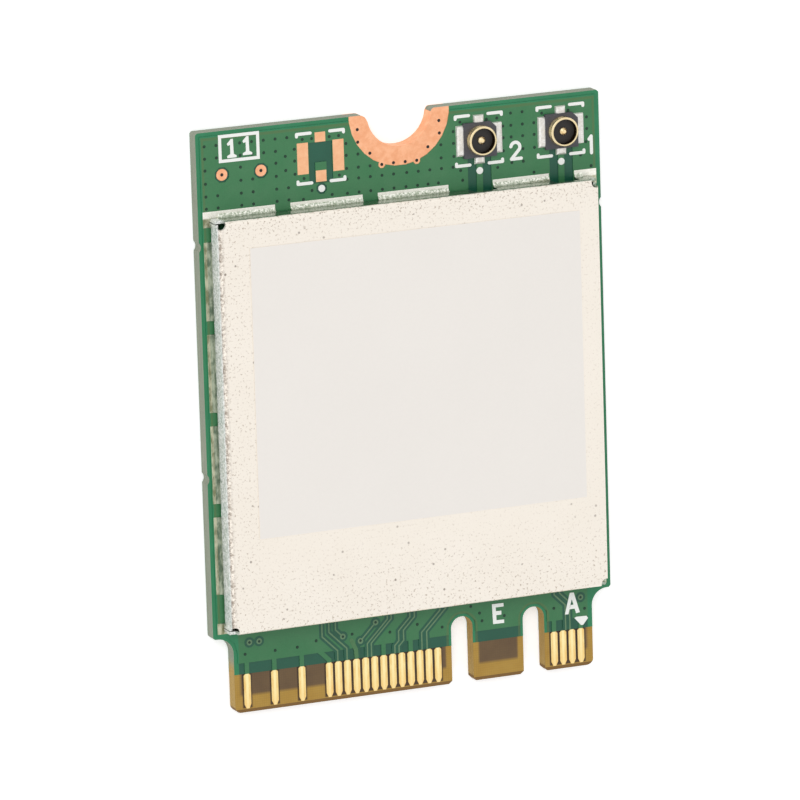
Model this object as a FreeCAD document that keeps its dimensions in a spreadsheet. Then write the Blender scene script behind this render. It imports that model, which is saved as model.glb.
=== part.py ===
import FreeCAD, Part
import math
import os

import Sketcher

Vector = FreeCAD.Vector

# A wireless card for a laptop's card slot: 22 mm by 30 mm, parts on one side only.
# The frame: origin at the middle of the lowest face, X along the contact edge, Y towards the
# screw notch, Z up out of the shielded side. All lengths are in millimetres.

os.makedirs("parts", exist_ok=True)
document = FreeCAD.newDocument("wifi_card")

# Driving dimensions, each with the alias that the pieces are bound to.
DIMENSIONS = (
    ("board_width", 22.0, "card across the contact edge"),
    ("board_length", 30.0, "card from contact edge to screw edge"),
    ("core_thickness", 0.72, "bare laminate"),
    ("copper_thickness", 0.04, "plated foil on each face"),
    ("mask_thickness", 0.02, "solder mask over foil"),
    ("corner_cut", 0.1, "outer corners of the card"),
    ("shoulder_width", 1.075, "step from a long edge in to the contact tab"),
    ("tab_length", 4.0, "contact tab below the shoulders"),
    ("tab_corner_radius", 0.35, "corners of the contact tab"),
    ("shoulder_radius", 0.85, "inner corner under each shoulder"),
    ("bevel_length", 0.2, "lead-in of the contact edge, along the card"),
    ("bevel_depth", 0.08, "lead-in of the contact edge, into the card"),
    ("key_width", 1.2, "key notches across"),
    ("key_depth", 3.5, "key notches from the contact edge to their round end"),
    ("key_mouth_cut", 0.16, "cut corners at the mouth of a key notch"),
    ("key_e_offset", 6.625, "middle of the left key notch from contact 1"),
    ("key_a_offset", 2.625, "middle of the right key notch from contact 1"),
    ("notch_radius", 1.75, "screw notch inside its plating"),
    ("plating_thickness", 0.025, "copper on the wall of the screw notch"),
    ("notch_left_rounding", 0.4, "left lip of the screw notch"),
    ("notch_right_rounding", 0.2, "right lip of the screw notch"),
    ("ring_radius", 2.75, "bare copper round the screw notch"),
    ("ring_lobe_radius", 0.2, "bare copper round a hole that lies on the ring's border"),
    ("nick_radius", 0.35, "break-off dents in the long edges"),
    ("nick_depth", 0.1, "depth of a break-off dent"),
    ("nick_upper_drop", 5.8, "upper break-off dents below the screw edge"),
    ("nick_lower_drop", 17.7, "lower break-off dent below the screw edge"),
    ("border_clearance", 0.22, "foil kept back from the card's edge"),
    ("mask_edge_height", 2.03, "mask's lower border above the contact edge"),
    ("pour_edge_height", 2.63, "ground pour's lower border above the contact edge"),
    ("contact_pitch", 0.5, "contacts of one face"),
    ("contact_first_inset", 0.675, "middle of contact 1 inside the tab's side"),
    ("contact_width", 0.38, "one contact across"),
    ("contact_setback", 0.22, "contact's end above the contact edge"),
    ("contact_clip", 0.11, "tapered end of a contact, drawn in at each side"),
    ("contact_taper", 0.24, "tapered end of a contact, along it"),
    ("trace_width", 0.1, "signal trace"),
    ("trace_gap", 0.1, "clear laminate beside a trace"),
    ("stub_width", 0.2, "link from a ground contact to the pour"),
    ("slanted_stub_rise", 0.14, "straight start of the slanted link"),
    ("via_land_radius", 0.17, "copper land of a covered via"),
    ("via_gap", 0.13, "clear laminate round a via's land"),
    ("via_lane_offset", 13.61, "lane of the trace from the left via, from contact 1"),
    ("can_side_gap", 0.6, "shield inside the long edges"),
    ("can_shoulder_gap", 0.37, "shield above the shoulders"),
    ("can_port_gap", 2.51, "shield below the ports' middle"),
    ("can_height", 1.15, "shield above its pads"),
    ("sheet_thickness", 0.15, "shield's sheet"),
    ("bend_radius", 0.22, "shield's folds, outside"),
    ("relief_radius", 0.26, "hole where two folds meet"),
    ("relief_depth", 0.42, "relief hole into the walls"),
    ("wall_slit", 0.06, "gap where two walls meet"),
    ("foot_window_height", 0.14, "walls raised between two pads"),
    ("feed_window_height", 0.75, "walls raised over an antenna feed"),
    ("side_pad_gap", 0.7, "between two pads of a long side"),
    ("side_pads_low", 1.965, "long-side pads above the shield's contact end"),
    ("side_pads_high", 1.195, "long-side pads below the shield's screw end"),
    ("end_gap_width", 0.83, "gap between two pads of the screw end"),
    ("end_gap_1_inset", 4.55, "first gap of the screw end from the left edge"),
    ("end_gap_2_inset", 9.3, "second gap of the screw end from the left edge"),
    ("port_2_gap_reach", 1.74, "gap at port 2 to the left of the port's middle"),
    ("lane_margin", 0.25, "gap of the contact end beside the traces in it"),
    ("corner_pad_reach", 0.45, "corner pad along a long side"),
    ("pad_inset", 0.3, "shield's pads inside the wall's outer face"),
    ("side_pad_outset", 0.36, "long-side pads outside the wall"),
    ("screw_end_pad_outset", 0.35, "pads outside the wall at the screw end"),
    ("contact_end_pad_outset", 0.12, "pads outside the wall at the contact end"),
    ("fillet_height", 0.16, "solder up the shield's wall"),
    ("fillet_reach", 0.2, "solder out from the shield's wall"),
    ("mound_height", 0.15, "solder on a port's pad"),
    ("mound_inset", 0.12, "top of a port's solder inside its pad"),
    ("label_left_gap", 1.65, "label inside the shield's left side"),
    ("label_right_gap", 1.15, "label inside the shield's right side"),
    ("label_low_gap", 4.86, "label above the shield's contact end"),
    ("label_high_gap", 1.48, "label below the shield's screw end"),
    ("label_thickness", 0.05, "label"),
    ("port_1_inset", 2.17, "antenna port 1 from the right edge"),
    ("port_2_inset", 6.68, "antenna port 2 from the right edge, and the unused footprint from the left"),
    ("port_drop", 1.86, "ports' middle below the screw edge"),
    ("port_ring_radius", 0.75, "outer contact of a port"),
    ("port_wall", 0.1, "wall of the outer contact at its rim"),
    ("port_foot_wall", 0.15, "wall of the outer contact at its foot"),
    ("port_height", 0.6, "outer contact above the mask"),
    ("port_groove_depth", 0.04, "snap groove round the outer contact"),
    ("port_groove_low", 0.06, "snap groove above the moulded base"),
    ("port_groove_high", 0.12, "snap groove below the rim"),
    ("port_flare", 0.06, "outer contact's foot inside the moulded base"),
    ("port_lip", 0.033, "chamfer of the rim"),
    ("port_base_width", 1.8, "moulded base of a port"),
    ("port_base_height", 0.2, "moulded base above the mask"),
    ("port_base_chamfer", 0.3, "cut corner of the moulded base"),
    ("port_floor_height", 0.3, "moulded floor inside the outer contact"),
    ("port_tail_thickness", 0.1, "soldered tails of a port"),
    ("port_tail_width", 0.34, "side tails of a port beside its base"),
    ("port_end_tail_width", 0.4, "end tail of a port"),
    ("port_tail_margin", 0.08, "end of a tail inside its pad"),
    ("signal_window_width", 0.48, "gap of the outer contact over the pin's tail, across"),
    ("signal_window_height", 0.16, "gap of the outer contact over the pin's tail, upwards"),
    ("pin_tail_width", 0.3, "centre pin's tail"),
    ("port_pin_radius", 0.19, "centre pin"),
    ("port_pin_height", 0.5, "centre pin above the mask"),
    ("side_land_width", 0.6, "port's side pads across"),
    ("side_land_length", 1.6, "port's side pads along the card"),
    ("side_land_outer", 1.265, "outer edge of the side pads from the port's middle"),
    ("end_land_width", 0.57, "port's end pads across"),
    ("top_land_length", 0.5, "port's ground end pad along the card"),
    ("top_land_start", 0.77, "ground end pad from the port's middle"),
    ("signal_land_length", 0.58, "port's signal pad along the card"),
    ("signal_land_start", 0.68, "signal pad from the port's middle"),
    ("signal_land_tongue", 0.4, "signal pad's covered tongue"),
    ("feed_width", 0.3, "antenna feed line"),
    ("feed_half_clearance", 0.665, "clear laminate each side of a feed's middle"),
    ("feed_reach", 1.2, "feed line under the shield"),
    ("feed_gap_margin", 0.035, "gap of the screw end beside a feed's clear laminate"),
    ("trace_reach", 0.6, "signal traces under the shield"),
    ("land_halo", 0.08, "clear laminate below the spare signal pad"),
    ("dot_halo", 0.14, "clear laminate round the spare port's dot"),
    ("test_pad_drop", 2.22, "test pads below the screw edge"),
    ("test_pad_left_inset", 1.35, "left test pad from the left edge"),
    ("test_pad_right_inset", 3.45, "right test pad from the left edge"),
    ("test_pad_radius", 0.32, "test pad"),
    ("test_pad_gap", 0.11, "clear laminate round a test pad"),
    ("test_hole_radius", 0.08, "hole in a test pad"),
    ("ink_thickness", 0.015, "white printing"),
    ("ink_line", 0.16, "printed line"),
    ("bracket_half_width", 1.35, "printed corner brackets round a port"),
    ("bracket_arm", 0.9, "long arm of a bracket"),
    ("bracket_stub", 0.28, "short arm of a bracket"),
    ("dot_radius", 0.18, "printed dot under a port"),
    ("dot_drop", 1.61, "printed dot below the port's middle"),
    ("frame_inset", 1.2, "printed frame from the left edge"),
    ("frame_width", 2.2, "printed frame"),
    ("frame_drop", 0.2, "printed frame's top below the screw edge"),
    ("frame_height", 1.41, "printed frame"),
    ("pointer_width", 0.8, "printed pointer at contact 1"),
    ("pointer_height", 0.44, "printed pointer at contact 1"),
    ("pointer_rise", 0.58, "printed pointer's base above the mask's lower border"),
    ("chip_size", 7.0, "radio chip"),
    ("chip_clearance", 0.23, "radio chip's top under the shield's top"),
    ("chip_x", 0.6, "radio chip from the shield's middle"),
    ("chip_y", -1.2, "radio chip from the shield's middle"),
    ("chip_corner", 0.3, "cut corner of a chip, beside its first terminal"),
    ("terminal_pitch", 0.5, "radio chip's terminals"),
    ("terminal_width", 0.24, "radio chip's terminals"),
    ("terminal_height", 0.2, "radio chip's terminals up its side"),
    ("terminal_reach", 0.1, "solder of a terminal out from the chip's side"),
    ("module_size", 3.0, "front end module"),
    ("module_height", 0.6, "front end module"),
    ("module_wall_gap", 1.7, "front end module from the shield's wall, where its filter lies"),
    ("module_1_shift", 0.6, "first module aside from its port, clear of the side wall"),
    ("filter_length", 1.6, "band filter"),
    ("filter_width", 0.8, "band filter"),
    ("filter_height", 0.55, "band filter"),
    ("filter_wall_gap", 0.55, "band filter from the shield's wall"),
    ("side_row_inset", 2.4, "crystal, memory and inductors inside the shield's side wall"),
    ("crystal_length", 2.5, "reference crystal"),
    ("crystal_width", 2.0, "reference crystal"),
    ("crystal_height", 0.55, "reference crystal"),
    ("crystal_lid_inset", 0.15, "crystal's lid inside its base"),
    ("crystal_y", 0.6, "reference crystal from the shield's middle"),
    ("memory_length", 3.0, "memory chip"),
    ("memory_width", 2.0, "memory chip"),
    ("memory_height", 0.6, "memory chip"),
    ("memory_y", 4.6, "memory chip from the shield's middle"),
    ("inductor_length", 2.0, "power inductor"),
    ("inductor_width", 1.6, "power inductor"),
    ("inductor_clearance", 0.18, "inductors' top under the shield's top"),
    ("inductor_corner", 0.25, "cut corners of an inductor"),
    ("inductor_y", -6.4, "first inductor from the shield's middle"),
    ("inductor_pitch", 2.6, "from inductor to inductor"),
    ("capacitor_length", 1.0, "ceramic capacitor"),
    ("capacitor_width", 0.5, "ceramic capacitor"),
    ("capacitor_cap", 0.22, "metal end of a capacitor"),
    ("capacitor_gap", 0.7, "capacitors beside the radio chip"),
    ("capacitor_pitch", 1.1, "from capacitor to capacitor"),
    ("resistor_length", 0.6, "chip resistor"),
    ("resistor_width", 0.3, "chip resistor"),
    ("resistor_height", 0.23, "chip resistor"),
    ("resistor_gap", 0.8, "resistors below the radio chip"),
    ("resistor_pitch", 0.8, "from resistor to resistor"),
)

sheet = document.addObject("Spreadsheet::Sheet", "dimensions")
for row, (alias, length, meaning) in enumerate(DIMENSIONS, start=1):
    sheet.set("A%d" % row, meaning)
    sheet.set("B%d" % row, str(length))
    sheet.setAlias("B%d" % row, alias)
document.recompute()


def number(expression):
    """The present value of an expression over the sheet."""
    return float(sheet.evalExpression(expression))


def size(alias):
    """The present value of one dimension."""
    return number("dimensions." + alias)


# Heights of the layers, and borders of the card, as expressions over the sheet.
CORE_LOW = "(dimensions.mask_thickness + dimensions.copper_thickness)"
CORE_TOP = "(%s + dimensions.core_thickness)" % CORE_LOW
COPPER_TOP = "(%s + dimensions.copper_thickness)" % CORE_TOP
MASK_TOP = "(%s + dimensions.mask_thickness)" % COPPER_TOP
CAN_TOP = "(%s + dimensions.can_height)" % MASK_TOP
RIGHT = "(dimensions.board_width / 2)"
TOP = "(dimensions.board_length / 2)"
TAB_RIGHT = "(%s - dimensions.shoulder_width)" % RIGHT
SHOULDER = "(dimensions.tab_length - dimensions.board_length / 2)"
NOTCH_WALL = "(dimensions.notch_radius + dimensions.plating_thickness)"
FIRST_X = "(%s - dimensions.contact_first_inset)" % TAB_RIGHT
KEYS = ("(%s - dimensions.key_e_offset)" % FIRST_X, "(%s - dimensions.key_a_offset)" % FIRST_X)
PORT_X = {port: "(%s - dimensions.%s_inset)" % (RIGHT, port) for port in ("port_1", "port_2")}
PORT_Y = "(%s - dimensions.port_drop)" % TOP
CAN_RIGHT = "(%s - dimensions.can_side_gap)" % RIGHT
CAN_LOW = "(%s + dimensions.can_shoulder_gap)" % SHOULDER
CAN_HIGH = "(%s - dimensions.can_port_gap)" % PORT_Y

core_low = number(CORE_LOW)
core_top = number(CORE_TOP)
copper = size("copper_thickness")
mask = size("mask_thickness")
copper_top = number(COPPER_TOP)
mask_top = number(MASK_TOP)
card_end = number(TOP)
port_y = number(PORT_Y)
mask_edge = size("mask_edge_height") - card_end
pour_edge = size("pour_edge_height") - card_end
can_right = number(CAN_RIGHT)
can_low, can_high = number(CAN_LOW), number(CAN_HIGH)


# Sketches and bodies.
def origin_plane(body, role):
    return next(plane for plane in body.Origin.OriginFeatures if plane.Role == role)


def new_body(name):
    body = document.addObject("PartDesign::Body", name)
    body.Label = name
    return body


def new_sketch(body, name, level="0", role="XY_Plane"):
    """A sketch on one of the body's origin planes, moved along the plane's normal."""
    sketch = body.newObject("Sketcher::SketchObject", name)
    sketch.AttachmentSupport = [(origin_plane(body, role), "")]
    sketch.MapMode = "FlatFace"
    sketch.setExpression("AttachmentOffset.Base.z", level)
    return sketch


def bind(sketch, constraint, expression):
    place = sketch.addConstraint(constraint)
    sketch.setExpression("Constraints[%d]" % place, expression)


def fix_point(sketch, index, end, x, y):
    """Holds a point of the sketch at x, y, each an expression over the sheet."""
    for kind, axis, expression in (("DistanceX", -2, x), ("DistanceY", -1, y)):
        if expression == "0":
            sketch.addConstraint(Sketcher.Constraint("PointOnObject", index, end, axis))
        else:
            distance = Sketcher.Constraint(kind, -1, 1, index, end, number(expression))
            bind(sketch, distance, expression)


def draw_polygon(sketch, corners):
    first = sketch.GeometryCount
    count = len(corners)
    points = [Vector(number(x), number(y), 0) for x, y in corners]
    for i in range(count):
        sketch.addGeometry(Part.LineSegment(points[i], points[(i + 1) % count]))
    for i in range(count):
        after = first + (i + 1) % count
        sketch.addConstraint(Sketcher.Constraint("Coincident", first + i, 2, after, 1))
        fix_point(sketch, first + i, 1, *corners[i])


def draw_rectangle(sketch, left, low, right, high):
    draw_polygon(sketch, ((left, low), (right, low), (right, high), (left, high)))


def draw_circle(sketch, x, y, radius):
    circle = Part.Circle(Vector(number(x), number(y), 0), Vector(0, 0, 1), number(radius))
    index = sketch.addGeometry(circle)
    fix_point(sketch, index, 3, x, y)
    bind(sketch, Sketcher.Constraint("Radius", index, number(radius)), radius)


def pad(body, sketch, length):
    feature = body.newObject("PartDesign::Pad", sketch.Name + "_pad")
    feature.Profile = sketch
    feature.setExpression("Length", length)
    document.recompute()
    return feature


def pocket(body, sketch, length=None, upward=True, both_ways=False):
    """Cuts the sketch out of the body: through all of it, or as deep as length says."""
    before = body.Shape.Volume
    feature = body.newObject("PartDesign::Pocket", sketch.Name + "_pocket")
    feature.Profile = sketch
    feature.Reversed = upward
    if both_ways:
        feature.SideType = "Symmetric"
    if length is None:
        feature.Type = "ThroughAll"
    else:
        feature.setExpression("Length", length)
    document.recompute()
    if body.Shape.Volume >= before:
        raise RuntimeError(sketch.Name + " cuts nothing")
    return feature


def upright_edges(shape, spots):
    """Names of the upright edges of the shape that stand at the given x, y spots."""
    names = []
    for index, edge in enumerate(shape.Edges, start=1):
        low, high = edge.Vertexes[0].Point, edge.Vertexes[-1].Point
        upright = abs(low.x - high.x) < 1e-6 and abs(low.y - high.y) < 1e-6
        if upright and any(math.hypot(low.x - x, low.y - y) < 1e-4 for x, y in spots):
            names.append("Edge%d" % index)
    return names


def round_edges(body, name, edges, radius):
    base = body.Tip
    feature = body.newObject("PartDesign::Fillet", name)
    feature.Base = (base, edges)
    feature.setExpression("Radius", radius)
    document.recompute()
    return feature


def round_corners(body, name, spots, radius):
    places = [(number(x), number(y)) for x, y in spots]
    return round_edges(body, name, upright_edges(body.Shape, places), radius)


def cut_body_corners(body, name, spots, cut):
    places = [(number(x), number(y)) for x, y in spots]
    base = body.Tip
    edges = upright_edges(body.Shape, places)
    feature = body.newObject("PartDesign::Chamfer", name)
    feature.Base = (base, edges)
    feature.setExpression("Size", cut)
    document.recompute()
    return feature


# Flat regions, from which the thin layers are cut.
def polygon(points):
    corners = [Vector(x, y, 0) for x, y in points]
    return Part.Face(Part.makePolygon(corners + corners[:1]))


def rectangle(left, low, right, high):
    return polygon(((left, low), (right, low), (right, high), (left, high)))


def disc(x, y, radius):
    return Part.Face(Part.Wire(Part.makeCircle(radius, Vector(x, y, 0))))


def small_round(x, y, radius, sides=8):
    """A small round land, hole or dot, drawn with a few straight sides."""
    turns = [2 * math.pi * (side + 0.5) / sides for side in range(sides)]
    return polygon([(x + radius * math.cos(turn), y + radius * math.sin(turn)) for turn in turns])


def joined(regions):
    whole = regions[0].fuse(list(regions[1:])) if len(regions) > 1 else regions[0]
    return whole.removeSplitter()


def strip(points, width):
    """A line of even width through the points, with mitred bends."""
    left, right = [], []
    spots = [Vector(x, y, 0) for x, y in points]
    for i, spot in enumerate(spots):
        before = (spot - spots[i - 1]).normalize() if i else (spots[1] - spot).normalize()
        after = (spots[i + 1] - spot).normalize() if i + 1 < len(spots) else before
        across = Vector(-before.y - after.y, before.x + after.x, 0).normalize()
        reach = width / 2 / across.dot(Vector(-before.y, before.x, 0))
        left.append(spot + across * reach)
        right.append(spot - across * reach)
    return polygon([(p.x, p.y) for p in left + right[::-1]])


def film(region, low, thickness):
    """The flat region as a layer between low and low + thickness."""
    layers = [face.extrude(Vector(0, 0, thickness)) for face in region.Faces]
    for layer in layers:
        layer.translate(Vector(0, 0, low))
    return layers[0] if len(layers) == 1 else Part.makeCompound(layers)


def merged(layer):
    """The layer with touching stretches made one."""
    return layer.Solids[0].fuse(layer.Solids[1:]).removeSplitter()


def layer_piece(name, shape):
    """A node whose shape is worked out here, as layers of foil, mask and ink are."""
    piece = document.addObject("Part::Feature", name)
    piece.Label = name
    piece.Shape = shape
    return piece


# The laminate.
def make_laminate():
    body = new_body("board_laminate")
    outline = new_sketch(body, "card_outline", CORE_LOW)
    corners = [(RIGHT, TOP), (RIGHT, SHOULDER), (TAB_RIGHT, SHOULDER), (TAB_RIGHT, "-" + TOP)]
    mirrored = [("-" + x, y) for x, y in reversed(corners)]
    draw_polygon(outline, corners + mirrored)
    pad(body, outline, "dimensions.core_thickness")

    notch = new_sketch(body, "screw_notch_circle", CORE_LOW)
    draw_circle(notch, "0", TOP, NOTCH_WALL)
    pocket(body, notch)

    slots = new_sketch(body, "key_slots", CORE_LOW)
    ends = new_sketch(body, "key_ends", CORE_LOW)
    end_y = "(dimensions.key_depth - dimensions.key_width / 2 - %s)" % TOP
    for key in KEYS:
        left, right = key + " - dimensions.key_width / 2", key + " + dimensions.key_width / 2"
        draw_rectangle(slots, left, "-%s - dimensions.key_width" % TOP, right, end_y)
        draw_circle(ends, key, end_y, "dimensions.key_width / 2")
    pocket(body, slots)
    pocket(body, ends)

    nicks = new_sketch(body, "break_off_dents", CORE_LOW)
    outside = "%s + dimensions.nick_radius - dimensions.nick_depth" % RIGHT
    for side, drop in (("-", "nick_upper_drop"), ("-", "nick_lower_drop"), ("", "nick_upper_drop")):
        middle = "%s(%s)" % (side, outside)
        draw_circle(nicks, middle, "(%s - dimensions.%s)" % (TOP, drop), "dimensions.nick_radius")
    pocket(body, nicks)

    both = ("", "-")
    outer = [(s + RIGHT, y) for s in both for y in (TOP, SHOULDER)]
    cut_body_corners(body, "outer_corners", outer, "dimensions.corner_cut")
    inner = [(s + TAB_RIGHT, SHOULDER) for s in both]
    round_corners(body, "shoulder_corners", inner, "dimensions.shoulder_radius")
    lower = [(s + TAB_RIGHT, "-" + TOP) for s in both]
    round_corners(body, "tab_corners", lower, "dimensions.tab_corner_radius")
    mouths = [("%s %s dimensions.key_width / 2" % (key, s), "-" + TOP) for key in KEYS for s in ("-", "+")]
    cut_body_corners(body, "key_mouths", mouths, "dimensions.key_mouth_cut")
    round_corners(body, "left_lip", [("-" + NOTCH_WALL, TOP)], "dimensions.notch_left_rounding")
    round_corners(body, "right_lip", [(NOTCH_WALL, TOP)], "dimensions.notch_right_rounding")

    bevels = new_sketch(body, "contact_edge_bevels", "0", "YZ_Plane")
    beyond = "-%s - dimensions.bevel_length" % TOP
    start = "dimensions.bevel_length - %s" % TOP
    faces = ((CORE_TOP, "+", "-"), (CORE_LOW, "-", "+"))
    for level, out, into in faces:
        proud = "%s %s dimensions.bevel_depth" % (level, out)
        deep = "%s %s 2 * dimensions.bevel_depth" % (level, into)
        draw_polygon(bevels, ((start, level), (beyond, deep), (beyond, proud), (start, proud)))
    pocket(body, bevels, both_ways=True)
    return body


laminate = make_laminate()
top_faces = [face for face in laminate.Shape.Faces
             if abs(face.BoundBox.ZMin - core_top) < 1e-6 and face.BoundBox.ZLength < 1e-6]
card_face = max(top_faces, key=lambda face: face.Area)
card_face.translate(Vector(0, 0, -core_top))
card_face = Part.Face(card_face.Wires)


# Contacts and the foil that leads away from them.
FRONT_CONTACTS = (1, 3, 5, 7) + tuple(range(33, 58, 2)) + (63, 69, 75)
BACK_CONTACTS = (2, 4, 6, 16, 18, 20, 22) + tuple(range(32, 76, 2))
FRONT_GROUNDS = (1, 7, 39, 45, 63, 69, 75)
SLANTED_GROUND = 57
BACK_GROUNDS = (2, 4, 18, 50, 72, 74)

# Signal traces of the front: contact, sidestep at the contact, then turns of rise and shift.
FAN_OUT = (
    (55, -0.03, ((0.57, -0.82),)),
    (53, -0.02, ((0.63, -0.95),)),
    (49, 0.11, ((0.72, 1.14),)),
    (47, -0.17, ((0.72, 1.14),)),
    (43, 0.12, ((0.42, 0.23), (0.52, 0.65))),
    (41, -0.15, ((0.37, 0.27), (0.53, 0.63))),
    (37, 0.12, ((0.92, 1.05),)),
    (35, -0.10, ((0.94, 1.10),)),
    (5, 0.15, ((1.35, -0.60),)),
    (3, -0.11, ((1.47, -0.54),)),
)
# Covered vias with a land of their own: from contact 1 to the left, and height above the contact edge.
LONE_VIAS = ((18.32, 3.65), (17.79, 3.65), (-0.02, 3.67))
TRACE_VIAS = ((13.22, 3.3), (12.26, 2.94), (11.4, 3.8))
VIA_LANE = "(%s - dimensions.via_lane_offset)" % FIRST_X
via_lane_x = number(VIA_LANE)
trace_end_y = can_low + size("trace_reach")
VIA_SIDES = 6


def contact_x(position):
    return number(FIRST_X) - (position - 1) * size("contact_pitch") / 2


def fits_tab(x, half_width):
    return abs(x) + half_width < number(TAB_RIGHT)


def fan_out_lane(contact, sidestep, turns):
    """The trace's last lane, as an expression over the sheet."""
    shift = sidestep + sum(turn[1] for turn in turns)
    first = "%s - %d * dimensions.contact_pitch" % (FIRST_X, (contact - 1) / 2)
    return "(%s + %.2f)" % (first, shift)


def fan_out_route(contact, sidestep, turns):
    """The trace's points, from the mask's border to its end under the shield."""
    x, y = contact_x(contact) + sidestep, mask_edge
    points = [(x, y)]
    for rise, shift in turns:
        points.append((x, y + rise))
        x, y = x + shift, y + rise + abs(shift)
        points.append((x, y))
    points.append((x, trace_end_y))
    return points


def via_spots(vias):
    """The middles of the vias that the tab has room for."""
    spots = [(number(FIRST_X) - offset, height - card_end) for offset, height in vias]
    return [(x, y) for x, y in spots if fits_tab(x, size("via_land_radius") + size("via_gap"))]


def front_routes():
    routes = [fan_out_route(*trace) for trace in FAN_OUT]
    left_via, middle_via, right_via = via_spots(TRACE_VIAS)
    step = left_via[0] - via_lane_x
    routes.append([left_via, (via_lane_x, left_via[1] + step), (via_lane_x, trace_end_y)])
    entry = contact_x(51)
    bend = middle_via[1] - (middle_via[0] - entry)
    routes.append([(entry, mask_edge), (entry, bend), middle_via])
    routes.append([middle_via, right_via])
    return routes


# The shield's pads, and the gaps between them, as expressions over the sheet.
SIDE_PADS = 4
PADS_LOW = "(%s + dimensions.side_pads_low)" % CAN_LOW
SIDE_PAD_PITCH = "((%s - dimensions.side_pads_high - %s + dimensions.side_pad_gap) / %d)" % (
    CAN_HIGH, PADS_LOW, SIDE_PADS)


def side_pad_start(place):
    """Where a long-side pad starts: place counts from the contact end."""
    return "(%s + %d * %s)" % (PADS_LOW, place, SIDE_PAD_PITCH)


def side_pad_stop(place):
    return "(%s - dimensions.side_pad_gap)" % side_pad_start(place + 1)


def lane_gap(left_lane, right_lane):
    return "(%s - dimensions.lane_margin)" % left_lane, "(%s + dimensions.lane_margin)" % right_lane


def end_gap(place):
    middle = "(dimensions.end_gap_%d_inset - %s)" % (place, RIGHT)
    return "(%s - dimensions.end_gap_width / 2)" % middle, "(%s + dimensions.end_gap_width / 2)" % middle


SIDE_GAPS = (
    [("(%s + dimensions.corner_pad_reach)" % CAN_LOW, side_pad_start(0))]
    + [(side_pad_stop(place), side_pad_start(place + 1)) for place in range(SIDE_PADS - 1)]
    + [(side_pad_stop(SIDE_PADS - 1), "(%s - dimensions.corner_pad_reach)" % CAN_HIGH)]
)
FEED_GAP = "(dimensions.feed_half_clearance + dimensions.feed_gap_margin)"
SCREW_END_GAPS = (
    end_gap(1),
    end_gap(2),
    ("(%s - dimensions.port_2_gap_reach)" % PORT_X["port_2"], "(%s + %s)" % (PORT_X["port_2"], FEED_GAP)),
    ("(%s - %s)" % (PORT_X["port_1"], FEED_GAP), "(%s + %s)" % (PORT_X["port_1"], FEED_GAP)),
)
LANES = [fan_out_lane(*trace) for trace in FAN_OUT]
CONTACT_END_GAPS = (
    lane_gap(LANES[0], VIA_LANE),
    lane_gap(LANES[2], LANES[5]),
    lane_gap(LANES[6], LANES[7]),
    lane_gap(LANES[8], LANES[9]),
)


def spans_between(low, gaps, high):
    """What the gaps leave of the stretch from low to high."""
    borders = [low] + [number(border) for gap in gaps for border in gap] + [high]
    return list(zip(borders[::2], borders[1::2]))


def shield_pad_rectangles():
    """Every pad of the shield: where it lies, and which wall it carries."""
    inside = size("pad_inset")
    outer_x = can_right + size("side_pad_outset")
    inner_x = can_right - inside
    pads = []
    lowest, highest = can_low - size("contact_end_pad_outset"), can_high + size("screw_end_pad_outset")
    for low, high in spans_between(lowest, SIDE_GAPS, highest):
        pads.append(("left", -outer_x, low, -inner_x, high))
        pads.append(("right", inner_x, low, outer_x, high))
    for left, right in spans_between(-outer_x, SCREW_END_GAPS, outer_x):
        pads.append(("screw_end", left, can_high - inside, right, highest))
    for left, right in spans_between(-outer_x, CONTACT_END_GAPS, outer_x):
        pads.append(("contact_end", left, lowest, right, can_low + inside))
    return pads


shield_pads = shield_pad_rectangles()
shield_pad_region = joined([rectangle(*pad_place[1:]) for pad_place in shield_pads])


# Lands of the antenna ports.
def side_lands(port_x):
    half = size("side_land_length") / 2
    outer, inner = size("side_land_outer"), size("side_land_outer") - size("side_land_width")
    return [rectangle(port_x - outer, port_y - half, port_x - inner, port_y + half),
            rectangle(port_x + inner, port_y - half, port_x + outer, port_y + half)]


def top_land(port_x):
    half, start = size("end_land_width") / 2, port_y + size("top_land_start")
    return rectangle(port_x - half, start, port_x + half, start + size("top_land_length"))


def signal_land(port_x):
    half, start = size("end_land_width") / 2, port_y - size("signal_land_start")
    return rectangle(port_x - half, start - size("signal_land_length"), port_x + half, start)


FED_PORTS = (number(PORT_X["port_1"]), number(PORT_X["port_2"]))
spare_x = -number(PORT_X["port_2"])
ALL_PORTS = FED_PORTS + (spare_x,)
left_edge = -number(RIGHT)
TEST_PADS = (left_edge + size("test_pad_left_inset"), left_edge + size("test_pad_right_inset"))
test_pad_y = card_end - size("test_pad_drop")
signal_end_y = port_y - size("signal_land_start") - size("signal_land_length")
feed_end_y = can_high - size("feed_reach")
lands = [land for x in ALL_PORTS for land in side_lands(x) + [top_land(x), signal_land(x)]]

# Holes on the ring's border, which the bare copper goes round: from the notch's middle, and below it.
RING_LOBES = ((-1.01, 2.6), (0.9, 2.59))
RING_SIDES, KEY_SIDES, TEST_SIDES = 28, 8, 8
ring_region = joined([small_round(0, card_end, size("ring_radius"), RING_SIDES)] + [
    small_round(x, card_end - drop, size("ring_lobe_radius")) for x, drop in RING_LOBES])


def round_stretch(x, y, radius, start, end, sides):
    """Points along an arc about x, y, from the angle start to the angle end in degrees."""
    turns = [math.radians(start + (end - start) * step / sides) for step in range(sides + 1)]
    return [(x + radius * math.cos(turn), y + radius * math.sin(turn)) for turn in turns]


SHOULDER_SIDES = 3


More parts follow.
